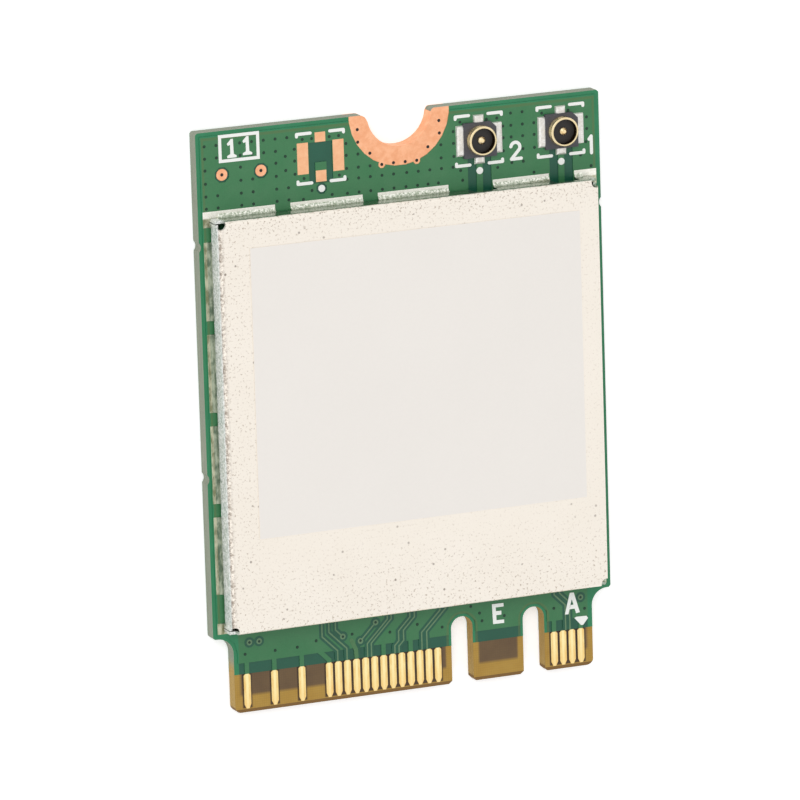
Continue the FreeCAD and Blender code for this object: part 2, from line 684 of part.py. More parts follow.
def pour(grow):
    """The ground pour: kept back from the card's edge, its shoulders, its keys and its contacts."""
    back = size("border_clearance") - grow
    right, shoulder, rounding = number(RIGHT), number(SHOULDER), size("shoulder_radius")
    centre_x, centre_y = number(TAB_RIGHT) + rounding, shoulder - rounding
    side = [(centre_x - rounding - back, pour_edge - grow)]
    side += round_stretch(centre_x, centre_y, rounding + back, 180, 90, SHOULDER_SIDES)
    side += [(right - back, shoulder + back), (right - back, card_end - back)]
    outline = polygon(side + [(-x, y) for x, y in reversed(side)])
    key_end = size("key_depth") - size("key_width") / 2 - card_end
    keys = [small_round(number(key), key_end, size("key_width") / 2 + back, KEY_SIDES) for key in KEYS]
    return outline.cut(keys)


def ground_stubs(contacts, grow):
    """Links from the ground contacts across the clear strip to the pour."""
    half = size("stub_width") / 2 + grow
    places = [contact_x(contact) for contact in contacts]
    return [rectangle(x - half, mask_edge, x + half, pour_edge + half)
            for x in places if fits_tab(x, size("contact_width") / 2)]


def front_foil(grow=0.0):
    """Pour, traces, stubs and lands of the front that mask covers, grown all round by grow."""
    clear_width = size("trace_width") + 2 * (size("trace_gap") - grow)
    halo = size("via_land_radius") + size("via_gap") - grow
    half_band = size("feed_half_clearance") - grow
    band_top = port_y + size("top_land_start")
    routes = front_routes()
    away = [strip(points, clear_width) for points in routes]
    vias = via_spots(LONE_VIAS + TRACE_VIAS)
    away += [small_round(x, y, halo, VIA_SIDES) for x, y in vias]
    away += [rectangle(x - half_band, feed_end_y + grow, x + half_band, band_top) for x in FED_PORTS]
    band_low = signal_end_y - size("land_halo") + grow
    away.append(rectangle(spare_x - half_band, band_low, spare_x + half_band, band_top))
    away.append(small_round(spare_x, port_y - size("dot_drop"), size("dot_radius") + size("dot_halo") - grow))
    test_halo = size("test_pad_radius") + size("test_pad_gap") - grow
    away += [small_round(x, test_pad_y, test_halo, TEST_SIDES) for x in TEST_PADS]
    ground = pour(grow).cut(away)

    parts = [strip(points, size("trace_width") + 2 * grow) for points in routes]
    parts += [small_round(x, y, size("via_land_radius") + grow, VIA_SIDES) for x, y in vias]
    parts += ground_stubs(FRONT_GROUNDS, grow)
    x, straight = contact_x(SLANTED_GROUND), size("slanted_stub_rise")
    bend, end = mask_edge + straight, pour_edge + size("stub_width") / 2
    parts.append(strip([(x, mask_edge), (x, bend), (x - (end - bend), end)], size("stub_width") + 2 * grow))
    feed = size("feed_width") / 2 + grow
    parts += [rectangle(x - feed, feed_end_y, x + feed, signal_end_y) for x in FED_PORTS]
    tongue = size("end_land_width") / 2 + grow
    tongue_end = port_y - size("signal_land_start") + size("signal_land_tongue") + grow
    parts += [rectangle(x - tongue, signal_end_y - grow, x + tongue, tongue_end) for x in ALL_PORTS]
    return joined([ground, shield_pad_region] + lands + parts).cut(ring_region)


def back_foil(grow=0.0):
    """Pour and ground stubs of the back."""
    return joined([pour(grow)] + ground_stubs(BACK_GROUNDS, grow)).cut(ring_region)


def masked_area(region, openings):
    right = number(RIGHT)
    covered = region.common(rectangle(-right, mask_edge, right, card_end))
    return covered.cut(openings)


def mask_over(area, foil, grown_foil, outward):
    """Mask that drapes over the foil: outward is 1 on the front and -1 on the back."""
    face = core_top if outward > 0 else core_low
    flat = film(area, face, outward * mask)
    raised = film(grown_foil.common(area), face, outward * (copper + mask))
    return flat.fuse(raised).cut(film(foil, face, outward * copper)).removeSplitter()


bottom_faces = [face for face in laminate.Shape.Faces
                if abs(face.BoundBox.ZMin - core_low) < 1e-6 and face.BoundBox.ZLength < 1e-6]
back_face = max(bottom_faces, key=lambda face: face.Area)
back_face.translate(Vector(0, 0, -core_low))
back_face = Part.Face(back_face.Wires)

front_openings = [ring_region, shield_pad_region] + lands + [
    small_round(x, test_pad_y, size("test_pad_radius"), TEST_SIDES) for x in TEST_PADS]
front_area = masked_area(card_face, front_openings)
back_area = masked_area(back_face, [ring_region])
front_copper = front_foil()
back_copper = back_foil()
foil_piece = layer_piece("front_copper_foil", merged(film(front_copper, core_top, copper)))
layer_piece("back_copper_foil", merged(film(back_copper, core_low, -copper)))
front_mask = mask_over(front_area, front_copper, front_foil(mask), 1)
layer_piece("front_solder_mask", front_mask)
layer_piece("back_solder_mask", mask_over(back_area, back_copper, back_foil(mask), -1))


# Bare metal of the card: contacts, screw notch, lands and pads.
def contact_row(contacts):
    """The contacts of one face that the tab has room for, drawn in at their lower ends."""
    half, low = size("contact_width") / 2, size("contact_setback") - card_end
    right_side = ((half - size("contact_clip"), low), (half, low + size("contact_taper")), (half, mask_edge))
    outline = right_side + tuple((-x, y) for x, y in reversed(right_side))
    places = [contact_x(contact) for contact in contacts if fits_tab(contact_x(contact), half)]
    return [polygon([(place + x, y) for x, y in outline]) for place in places]


def lip_height(rounding):
    """Where the notch's round wall ends below the screw edge, at a lip rounded this much."""
    wall = number(NOTCH_WALL)
    return card_end - rounding * wall / (wall + rounding)


def make_notch_plating():
    """The copper rings of both faces, joined by the plated wall of the half-round notch."""
    outer, inner = number(NOTCH_WALL), size("notch_radius")
    sleeve = disc(0, card_end, outer).cut(disc(0, card_end, inner))
    left = rectangle(-outer, card_end - outer, 0, lip_height(size("notch_left_rounding")))
    right = rectangle(0, card_end - outer, outer, lip_height(size("notch_right_rounding")))
    wall = film(sleeve.common(joined([left, right])), core_low - copper, copper_top - core_low + copper)
    front_ring = film(card_face.common(ring_region), core_top, copper)
    back_ring = film(back_face.common(ring_region), core_low, -copper)
    return wall.fuse([front_ring, back_ring]).removeSplitter()


def test_pad(x):
    pad_face = small_round(x, test_pad_y, size("test_pad_radius"), TEST_SIDES)
    return pad_face.cut(small_round(x, test_pad_y, size("test_hole_radius")))


layer_piece("front_edge_contacts", film(Part.makeCompound(contact_row(FRONT_CONTACTS)), core_top, copper))
layer_piece("back_edge_contacts", film(Part.makeCompound(contact_row(BACK_CONTACTS)), core_low, -copper))
layer_piece("screw_notch_plating", make_notch_plating())
layer_piece("antenna_port_pads", film(Part.makeCompound(lands), copper_top, mask))
layer_piece("test_pads", film(Part.makeCompound([test_pad(x) for x in TEST_PADS]), core_top, copper))
layer_piece("shield_pads", merged(film(shield_pad_region, copper_top, mask)))


# White printing.
def bracket(x, y, along, up):
    """A corner mark at x, y: along and up are 1 or -1, away from the corner."""
    arm, stub = size("bracket_arm") * along, size("bracket_stub") * up
    return strip([(x + arm, y), (x, y), (x, y + stub)], size("ink_line"))


def port_marks(x):
    """Four corner brackets round a port, and the dot under it."""
    half = size("bracket_half_width") - size("ink_line") / 2
    marks = [bracket(x + side * half, port_y + end * half, -side, -end)
             for side in (-1, 1) for end in (-1, 1)]
    return marks + [small_round(x, port_y - size("dot_drop"), size("dot_radius"))]


def make_printing():
    marks = [mark for x in ALL_PORTS for mark in port_marks(x)]
    left = left_edge + size("frame_inset")
    right = left + size("frame_width")
    high = card_end - size("frame_drop")
    low = high - size("frame_height")
    line = size("ink_line")
    marks.append(rectangle(left, low, right, high).cut(
        rectangle(left + line, low + line, right - line, high - line)))
    tip, half = contact_x(1), size("pointer_width") / 2
    base = mask_edge + size("pointer_rise")
    marks.append(polygon(((tip - half, base), (tip, base - size("pointer_height")), (tip + half, base))))
    ink = film(Part.makeCompound(marks), core_top + mask, copper + size("ink_thickness"))
    return ink.cut([front_mask, foil_piece.Shape])


layer_piece("silkscreen_marks", make_printing())


# The shield. A relief hole's middle lies so near the corner that the hole takes the corner away.
RELIEF_INSET = "0.6 * dimensions.relief_radius"


def make_shield_can():
    """A box folded from one sheet: walls that meet at slits, with a relief hole at each corner."""
    body = new_body("shield_can")
    outline = new_sketch(body, "shield_outline", MASK_TOP)
    draw_rectangle(outline, "-" + CAN_RIGHT, CAN_LOW, CAN_RIGHT, CAN_HIGH)
    box = pad(body, outline, "dimensions.can_height")
    top = number(CAN_TOP)
    folds = ["Edge%d" % i for i, edge in enumerate(box.Shape.Edges, start=1)
             if edge.BoundBox.ZMin > top - 1e-6]
    folded = round_edges(body, "folds", folds, "dimensions.bend_radius")
    under = next(i for i, face in enumerate(folded.Shape.Faces, start=1)
                 if face.BoundBox.ZMax < mask_top + 1e-6)
    hollow = body.newObject("PartDesign::Thickness", "hollow")
    hollow.Base = (folded, ["Face%d" % under])
    hollow.setExpression("Value", "dimensions.sheet_thickness")
    hollow.Reversed = True
    document.recompute()

    slits = new_sketch(body, "corner_slits", MASK_TOP)
    holes = new_sketch(body, "relief_holes", CAN_TOP)
    for side in ("", "-"):
        wall = ["%s(%s %s)" % (side, CAN_RIGHT, shift) for shift in ("- 1.5 * dimensions.sheet_thickness",
                                                                     "+ dimensions.sheet_thickness")]
        left, right = sorted(wall, key=number)
        for end, into in ((CAN_HIGH, "-"), (CAN_LOW, "+")):
            inner = "(%s %s dimensions.sheet_thickness)" % (end, into)
            low, high = sorted((inner, "(%s %s dimensions.wall_slit)" % (inner, into)), key=number)
            draw_rectangle(slits, left, low, right, high)
            draw_circle(holes, "%s(%s - %s)" % (side, CAN_RIGHT, RELIEF_INSET),
                        "(%s %s %s)" % (end, into, RELIEF_INSET), "dimensions.relief_radius")
    pocket(body, slits, "dimensions.can_height - dimensions.bend_radius")
    pocket(body, holes, "dimensions.relief_depth", upward=False)

    windows = new_sketch(body, "foot_windows", MASK_TOP)
    feeds = new_sketch(body, "feed_windows", MASK_TOP)
    within, beyond = "- 1.5 * dimensions.sheet_thickness", "+ dimensions.sheet_thickness"
    for low, high in SIDE_GAPS:
        draw_rectangle(windows, "(%s %s)" % (CAN_RIGHT, within), low, "(%s %s)" % (CAN_RIGHT, beyond), high)
        draw_rectangle(windows, "-(%s %s)" % (CAN_RIGHT, beyond), low, "-(%s %s)" % (CAN_RIGHT, within), high)
    for left, right in SCREW_END_GAPS:
        draw_rectangle(windows, left, "(%s %s)" % (CAN_HIGH, within), right, "(%s %s)" % (CAN_HIGH, beyond))
    for left, right in CONTACT_END_GAPS:
        draw_rectangle(windows, left, "(%s - dimensions.sheet_thickness)" % CAN_LOW,
                       right, "(%s + 1.5 * dimensions.sheet_thickness)" % CAN_LOW)
    for port in PORT_X.values():
        draw_rectangle(feeds, port + " - dimensions.feed_half_clearance", "(%s %s)" % (CAN_HIGH, within),
                       port + " + dimensions.feed_half_clearance", "(%s %s)" % (CAN_HIGH, beyond))
    pocket(body, windows, "dimensions.foot_window_height")
    pocket(body, feeds, "dimensions.feed_window_height")
    return body


# The hollow face of a solder fillet, as shares of its reach and its height.
FILLET_HOLLOW = (0.35, 0.4)


def solder_fillet(wall, left, low, right, high):
    """Solder between one pad and the wall that stands on it."""
    height = size("fillet_height")
    across = wall in ("left", "right")
    away = -1 if wall in ("left", "contact_end") else 1
    plane = {"left": -can_right, "right": can_right, "screw_end": can_high, "contact_end": can_low}[wall]
    border = {"left": left, "right": right, "screw_end": high, "contact_end": low}[wall]
    reach = min(size("fillet_reach"), away * (border - plane))
    hollow = (FILLET_HOLLOW[0] * reach, FILLET_HOLLOW[1] * height)
    profile = ((0, 0), (reach, 0), hollow, (0, height))
    start, end = (low, high) if across else (left, right)
    first, last = (can_low, can_high) if across else (-can_right, can_right)
    corner = number(RELIEF_INSET) + size("relief_radius")
    start, end = max(start, first + corner), min(end, last - corner)
    points = []
    for out, up in profile + profile[:1]:
        place = plane + away * out
        points.append(Vector(place, start, mask_top + up) if across else Vector(start, place, mask_top + up))
    face = Part.Face(Part.makePolygon(points))
    along = Vector(0, end - start, 0) if across else Vector(end - start, 0, 0)
    return face.extrude(along)


shield_can = make_shield_can()
layer_piece("shield_solder", Part.makeCompound([solder_fillet(*place) for place in shield_pads]))


def make_label():
    label = document.addObject("Part::Box", "blank_label")
    label.Label = "blank_label"
    sides = "dimensions.label_left_gap - dimensions.label_right_gap"
    ends = "dimensions.label_high_gap - dimensions.label_low_gap"
    label.setExpression("Length", "2 * %s - %s" % (CAN_RIGHT, sides))
    label.setExpression("Width", "%s - %s - %s" % (CAN_HIGH, CAN_LOW, ends))
    label.setExpression("Height", "dimensions.label_thickness")
    label.setExpression("Placement.Base.x", "dimensions.label_left_gap - %s" % CAN_RIGHT)
    label.setExpression("Placement.Base.y", "%s + dimensions.label_low_gap" % CAN_LOW)
    label.setExpression("Placement.Base.z", CAN_TOP)
    document.recompute()
    return label


make_label()


# Boxes that stand on the card.
def block(name, x, y, across, along, height, level=MASK_TOP):
    """A box standing on the card, by its middle: across is its size in X, along its size in Y."""
    box = document.addObject("Part::Box", name)
    box.setExpression("Length", across)
    box.setExpression("Width", along)
    box.setExpression("Height", height)
    box.setExpression("Placement.Base.x", "%s - %s / 2" % (x, across))
    box.setExpression("Placement.Base.y", "%s - %s / 2" % (y, along))
    box.setExpression("Placement.Base.z", level)
    document.recompute()
    return box


def cut_corners(name, box, cut, ends=((-1, 1),)):
    """The box with upright corners cut: ends are the signs of the corners' x and y."""
    bounds = box.Shape.BoundBox
    spots = [(bounds.XMax if x > 0 else bounds.XMin, bounds.YMax if y > 0 else bounds.YMin) for x, y in ends]
    piece = document.addObject("Part::Chamfer", name)
    piece.Base = box
    piece.Edges = [(int(edge[4:]), cut, cut) for edge in upright_edges(box.Shape, spots)]
    document.recompute()
    return piece


# Antenna ports.
def place_at_port(body, port):
    body.setExpression("Placement.Base.x", PORT_X[port])
    body.setExpression("Placement.Base.y", PORT_Y)


def revolve(body, sketch):
    feature = body.newObject("PartDesign::Revolution", sketch.Name + "_turned")
    feature.Profile = sketch
    feature.ReferenceAxis = (sketch, ["V_Axis"])
    feature.Angle = 360
    document.recompute()
    return feature


BASE_TOP = "(%s + dimensions.port_base_height)" % MASK_TOP
RING_OUT = "dimensions.port_ring_radius"
RING_IN = "(dimensions.port_ring_radius - dimensions.port_wall)"
FOOT_IN = "(dimensions.port_ring_radius - dimensions.port_foot_wall)"
WALL_MIDDLE = "(dimensions.port_ring_radius - dimensions.port_wall / 2)"
RIM_TOP = "(%s + dimensions.port_height)" % MASK_TOP


def make_port_shell(port):
    """The outer contact: a ring with a snap groove, two side tails and one end tail."""
    body = new_body(port + "_shell")
    place_at_port(body, port)
    profile = new_sketch(body, port + "_ring_profile", "0", "XZ_Plane")
    groove_low = "(%s + dimensions.port_groove_low)" % BASE_TOP
    groove_high = "(%s - dimensions.port_groove_high)" % RIM_TOP
    draw_polygon(profile, (
        (FOOT_IN, MASK_TOP), (RING_OUT + " + dimensions.port_flare", MASK_TOP), (RING_OUT, BASE_TOP),
        (RING_OUT, groove_low),
        (RING_OUT + " - dimensions.port_groove_depth", "(%s + %s) / 2" % (groove_low, groove_high)),
        (RING_OUT, groove_high), (RING_OUT, RIM_TOP + " - dimensions.port_lip"),
        (RING_OUT + " - dimensions.port_lip", RIM_TOP), (RING_IN, RIM_TOP)))
    revolve(body, profile)
    tails = new_sketch(body, port + "_tails", MASK_TOP)
    inside = WALL_MIDDLE
    outside = "(dimensions.port_base_width / 2 + dimensions.port_tail_width)"
    half = "(dimensions.side_land_length - dimensions.port_tail_margin) / 2"
    end = "(dimensions.top_land_start + dimensions.top_land_length - dimensions.port_tail_margin)"
    narrow = "dimensions.port_end_tail_width / 2"
    draw_rectangle(tails, inside, "-" + half, outside, half)
    draw_rectangle(tails, "-" + outside, "-" + half, "-" + inside, half)
    draw_rectangle(tails, "-" + narrow, inside, narrow, end)
    pad(body, tails, "dimensions.port_tail_thickness")
    opening = new_sketch(body, port + "_signal_window", MASK_TOP)
    aside = "dimensions.signal_window_width / 2"
    draw_rectangle(opening, "-" + aside, "-(%s + dimensions.port_wall)" % RING_OUT,
                   aside, "-(%s - dimensions.port_wall)" % FOOT_IN)
    pocket(body, opening, "dimensions.signal_window_height")
    return body


def make_port_pin(port):
    """The centre contact with its soldered tail towards the signal pad."""
    body = new_body(port + "_pin")
    place_at_port(body, port)
    profile = new_sketch(body, port + "_pin_profile", "0", "XZ_Plane")
    top = "(%s + dimensions.port_pin_height)" % MASK_TOP
    radius = "dimensions.port_pin_radius"
    draw_polygon(profile, (("0", MASK_TOP), (radius, MASK_TOP), (radius, top + " - %s / 2" % radius),
                           (radius + " / 2", top), ("0", top)))
    revolve(body, profile)
    tail = new_sketch(body, port + "_pin_tail", MASK_TOP)
    end = "-(dimensions.signal_land_start + dimensions.signal_land_length - dimensions.port_tail_margin)"
    aside = "dimensions.pin_tail_width / 2"
    draw_rectangle(tail, "-" + aside, end, aside, radius + " / 4")
    pad(body, tail, "dimensions.port_tail_thickness")
    return body


def make_port_base(port, shell, pin):
    """The moulded base with one cut corner, and its raised floor inside the outer contact."""
    width = "dimensions.port_base_width"
    base_block = block(port + "_block", PORT_X[port], PORT_Y, width, width, "dimensions.port_base_height")
    keyed = cut_corners(port + "_keyed_block", base_block, size("port_base_chamfer"), ((1, 1),))
    floor = document.addObject("Part::Cylinder", port + "_floor")
    floor.setExpression("Radius", WALL_MIDDLE)
    floor.setExpression("Height", "dimensions.port_floor_height")
    floor.setExpression("Placement.Base.x", PORT_X[port])
    floor.setExpression("Placement.Base.y", PORT_Y)
    floor.setExpression("Placement.Base.z", MASK_TOP)
    moulded = document.addObject("Part::MultiFuse", port + "_moulded")
    moulded.Shapes = [keyed, floor]
    metal = document.addObject("Part::MultiFuse", port + "_metal")
    metal.Shapes = [shell, pin]
    base = document.addObject("Part::Cut", port + "_insulator")
    base.Label = port + "_insulator"
    base.Base = moulded
    base.Tool = metal
    document.recompute()
    return base


def solder_mound(land):
    """Solder over a land: as wide as the land below, drawn in at the top."""
    height, shrink = size("mound_height"), size("mound_inset")
    box = land.BoundBox
    left, low, right, high = box.XMin, box.YMin, box.XMax, box.YMax
    wires = []
    for inset, level in ((0.0, 0.0), (shrink / 3, 2 * height / 3), (shrink, height)):
        corners = ((left + inset, low + inset), (right - inset, low + inset),
                   (right - inset, high - inset), (left + inset, high - inset))
        points = [Vector(x, y, mask_top + level) for x, y in corners]
        wires.append(Part.makePolygon(points + points[:1]))
    return Part.makeLoft(wires, True, True)


mounds = []
for port in ("port_1", "port_2"):
    shell, pin = make_port_shell(port), make_port_pin(port)
    base = make_port_base(port, shell, pin)
    metal_and_base = [shell.Shape, pin.Shape, base.Shape]
    port_x = number(PORT_X[port])
    for land in side_lands(port_x) + [top_land(port_x), signal_land(port_x)]:
        mounds.append(solder_mound(land).cut(metal_and_base))
layer_piece("port_solder", Part.makeCompound([solid for mound in mounds for solid in mound.Solids]))


# What stands on the card under the shield.
CAPACITORS_A_COLUMN = 5
RESISTORS = 7
INDUCTORS = 2
UNDER_TOP = "(%s - dimensions.sheet_thickness)" % CAN_TOP
CHIP_HEIGHT = "(%s - %s - dimensions.chip_clearance)" % (UNDER_TOP, MASK_TOP)
INDUCTOR_HEIGHT = "(%s - %s - dimensions.inductor_clearance)" % (UNDER_TOP, MASK_TOP)
INNER_WALL = "(%s - dimensions.sheet_thickness)" % CAN_HIGH
SIDE_ROW = "(-%s + dimensions.side_row_inset)" % CAN_RIGHT
CAN_MIDDLE = "((%s + %s) / 2)" % (CAN_LOW, CAN_HIGH)
CHIP_Y = "(%s + dimensions.chip_y)" % CAN_MIDDLE


def name_piece(piece, name):
    piece.Label = name
    return piece


def one_piece(name, blocks):
    """Several separate solids kept as one node."""
    group = document.addObject("Part::Compound", name)
    group.Links = blocks
    document.recompute()
    return name_piece(group, name)


def make_radio_chip():
    package = block("chip_package", "dimensions.chip_x", CHIP_Y, "dimensions.chip_size",
                    "dimensions.chip_size", CHIP_HEIGHT)
    name_piece(cut_corners("radio_chip", package, size("chip_corner")), "radio_chip")


def make_terminals():
    """Solder at the chip's terminals, an even row along each of its four sides."""
    half, pitch = size("chip_size") / 2, size("terminal_pitch")
    width, reach, height = size("terminal_width"), size("terminal_reach"), size("terminal_height")
    count = int((2 * half - 2 * size("chip_corner") - width) / pitch)
    terminals = []
    for place in range(count):
        middle = (place - (count - 1) / 2) * pitch
        left = middle - width / 2
        foot = [Vector(left, half, 0), Vector(left, half + reach, 0), Vector(left, half, height)]
        solder = Part.Face(Part.makePolygon(foot + foot[:1])).extrude(Vector(width, 0, 0))
        for turn in range(4):
            turned = solder.copy()
            turned.rotate(Vector(0, 0, 0), Vector(0, 0, 1), 90 * turn)
            turned.translate(Vector(size("chip_x"), number(CHIP_Y), mask_top))
            terminals.append(turned)
    return Part.makeCompound(terminals)


def make_front_end():
    """A module for each antenna port, and a band filter between it and the shield's wall."""
    module_y = "(%s - dimensions.module_wall_gap - dimensions.module_size / 2)" % INNER_WALL
    filter_y = "(%s - dimensions.filter_wall_gap - dimensions.filter_width / 2)" % INNER_WALL
    filters = []
    places = (("1", "(%s - dimensions.module_1_shift)" % PORT_X["port_1"]), ("2", PORT_X["port_2"]))
    for port, x in places:
        name = "front_end_module_" + port
        package = block("module_package_" + port, x, module_y, "dimensions.module_size",
                        "dimensions.module_size", "dimensions.module_height")
        name_piece(cut_corners(name, package, size("chip_corner")), name)
        filters.append(block("filter_" + port, x, filter_y, "dimensions.filter_length",
                             "dimensions.filter_width", "dimensions.filter_height"))
    one_piece("band_filters", filters)


def make_side_row():
    """Crystal, memory chip and inductors in a row along the shield's left wall."""
    base_height = "dimensions.crystal_height / 2"
    crystal_y = "(%s + dimensions.crystal_y)" % CAN_MIDDLE
    base = block("crystal_base", SIDE_ROW, crystal_y, "dimensions.crystal_width",
                 "dimensions.crystal_length", base_height)
    lid = block("crystal_lid", SIDE_ROW, crystal_y,
                "(dimensions.crystal_width - 2 * dimensions.crystal_lid_inset)",
                "(dimensions.crystal_length - 2 * dimensions.crystal_lid_inset)", base_height,
                "(%s + %s)" % (MASK_TOP, base_height))
    crystal = document.addObject("Part::MultiFuse", "reference_crystal")
    crystal.Shapes = [base, lid]
    name_piece(crystal, "reference_crystal")
    package = block("memory_package", SIDE_ROW, "(%s + dimensions.memory_y)" % CAN_MIDDLE,
                    "dimensions.memory_width", "dimensions.memory_length", "dimensions.memory_height")
    name_piece(cut_corners("memory_chip", package, size("chip_corner")), "memory_chip")
    four = [(x, y) for x in (-1, 1) for y in (-1, 1)]
    cores = []
    for place in range(INDUCTORS):
        core = block("inductor_core_%d" % place, SIDE_ROW,
                     "(%s + dimensions.inductor_y + %d * dimensions.inductor_pitch)" % (CAN_MIDDLE, place),
                     "dimensions.inductor_length", "dimensions.inductor_width", INDUCTOR_HEIGHT)
        cores.append(cut_corners("inductor_%d" % place, core, size("inductor_corner"), four))
    one_piece("power_inductors", cores)


def make_capacitors():
    """Two columns of capacitors beside the radio chip, each between its metal ends."""
    bodies, caps = [], []
    inner_length = "(dimensions.capacitor_length - 2 * dimensions.capacitor_cap)"
    reach = "(dimensions.chip_size / 2 + dimensions.capacitor_gap + dimensions.capacitor_length / 2)"
    cap_shift = "((dimensions.capacitor_length - dimensions.capacitor_cap) / 2)"
    for column, side in enumerate(("-", "+")):
        x = "(dimensions.chip_x %s %s)" % (side, reach)
        for place in range(CAPACITORS_A_COLUMN):
            y = "(%s + %.1f * dimensions.capacitor_pitch)" % (CHIP_Y, place - (CAPACITORS_A_COLUMN - 1) / 2)
            tag = "%d_%d" % (column, place)
            bodies.append(block("capacitor_" + tag, x, y, inner_length, "dimensions.capacitor_width",
                                "dimensions.capacitor_width"))
            for end, sign in (("a", "-"), ("b", "+")):
                caps.append(block("cap_%s_%s" % (tag, end), "(%s %s %s)" % (x, sign, cap_shift), y,
                                  "dimensions.capacitor_cap", "dimensions.capacitor_width",
                                  "dimensions.capacitor_width"))
    one_piece("ceramic_capacitors", bodies)
    one_piece("capacitor_end_caps", caps)


def make_resistors():
    """A row of resistors below the radio chip."""
    y = "(%s - dimensions.chip_size / 2 - dimensions.resistor_gap - dimensions.resistor_length / 2)" % CHIP_Y
    resistors = []
    for place in range(RESISTORS):
        x = "(dimensions.chip_x + %.1f * dimensions.resistor_pitch)" % (place - (RESISTORS - 1) / 2)
        resistors.append(block("resistor_%d" % place, x, y, "dimensions.resistor_width",
                               "dimensions.resistor_length", "dimensions.resistor_height"))
    one_piece("chip_resistors", resistors)


make_radio_chip()
layer_piece("radio_chip_terminals", make_terminals())
make_front_end()
make_side_row()
make_capacitors()
make_resistors()

# Every object has to be sound before any piece is written.
SUBPARTS = (
    "board_laminate", "front_copper_foil", "back_copper_foil", "front_solder_mask", "back_solder_mask",
    "front_edge_contacts", "back_edge_contacts", "screw_notch_plating", "shield_pads", "shield_solder",
    "shield_can", "blank_label", "port_1_shell", "port_1_insulator", "port_1_pin", "port_2_shell",
    "port_2_insulator", "port_2_pin", "port_solder", "antenna_port_pads", "test_pads", "silkscreen_marks",
    "radio_chip", "radio_chip_terminals", "front_end_module_1", "front_end_module_2", "band_filters",
    "reference_crystal", "power_inductors", "memory_chip", "ceramic_capacitors", "capacitor_end_caps",
    "chip_resistors",
)
document.recompute()
failed = [item.Name for item in document.Objects if "Invalid" in item.State or "Error" in item.State]
if failed:
    raise RuntimeError("failed: " + ", ".join(failed))
shapes = {}
for name in SUBPARTS:
    shape = document.getObjectsByLabel(name)[0].Shape
    if shape.isNull() or not shape.isValid() or not shape.Solids:
        raise RuntimeError(name + " has no sound shape")
    shapes[name] = shape
for name, shape in shapes.items():
    shape.exportStep(os.path.join("parts", name + ".step"))
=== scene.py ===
import math

import bmesh
import bpy
from mathutils import Matrix, Vector


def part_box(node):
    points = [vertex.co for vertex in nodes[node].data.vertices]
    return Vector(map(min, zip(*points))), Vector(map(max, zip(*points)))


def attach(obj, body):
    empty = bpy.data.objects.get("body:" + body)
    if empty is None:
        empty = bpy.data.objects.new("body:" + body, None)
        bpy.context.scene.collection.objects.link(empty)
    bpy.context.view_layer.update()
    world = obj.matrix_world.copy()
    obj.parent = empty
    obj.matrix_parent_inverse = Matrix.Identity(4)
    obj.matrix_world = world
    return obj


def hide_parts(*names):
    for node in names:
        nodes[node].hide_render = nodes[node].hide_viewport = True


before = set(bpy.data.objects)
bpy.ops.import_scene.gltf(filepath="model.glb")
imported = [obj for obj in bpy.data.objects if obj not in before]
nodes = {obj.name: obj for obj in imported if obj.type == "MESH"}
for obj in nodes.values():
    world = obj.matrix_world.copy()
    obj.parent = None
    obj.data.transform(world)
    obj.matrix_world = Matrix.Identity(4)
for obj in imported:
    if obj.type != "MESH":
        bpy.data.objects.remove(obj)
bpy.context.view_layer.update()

MM = 0.001


def box_mm(node):
    """Lowest and highest corner of a node, in millimetres."""
    low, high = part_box(node)
    return low / MM, high / MM


def middle_mm(node):
    """Middle of a node's box, in millimetres."""
    low, high = box_mm(node)
    return (low + high) / 2


card_low, card_high = box_mm("board_laminate")
can_low, can_high = box_mm("shield_can")
mask_top = box_mm("front_solder_mask")[1].z
laminate_top = card_high.z
laminate_low = card_low.z
mask_thickness = mask_top - box_mm("front_copper_foil")[1].z
mask_low_top = laminate_top + mask_thickness
BOARD_MIDDLE = (laminate_low + laminate_top) / 2
half_width = card_high.x
card_end = card_high.y
port_1 = middle_mm("port_1_insulator")
port_2 = middle_mm("port_2_insulator")
port_top = box_mm("port_1_shell")[1].z
spare_port = Vector((-port_2.x, port_2.y, port_2.z))


def colour(red, green, blue):
    """A colour as a screen shows it, in the linear values that a shader takes."""
    def linear(level):
        share = level / 255
        return share / 12.92 if share <= 0.04045 else ((share + 0.055) / 1.055) ** 2.4
    return (linear(red), linear(green), linear(blue), 1.0)


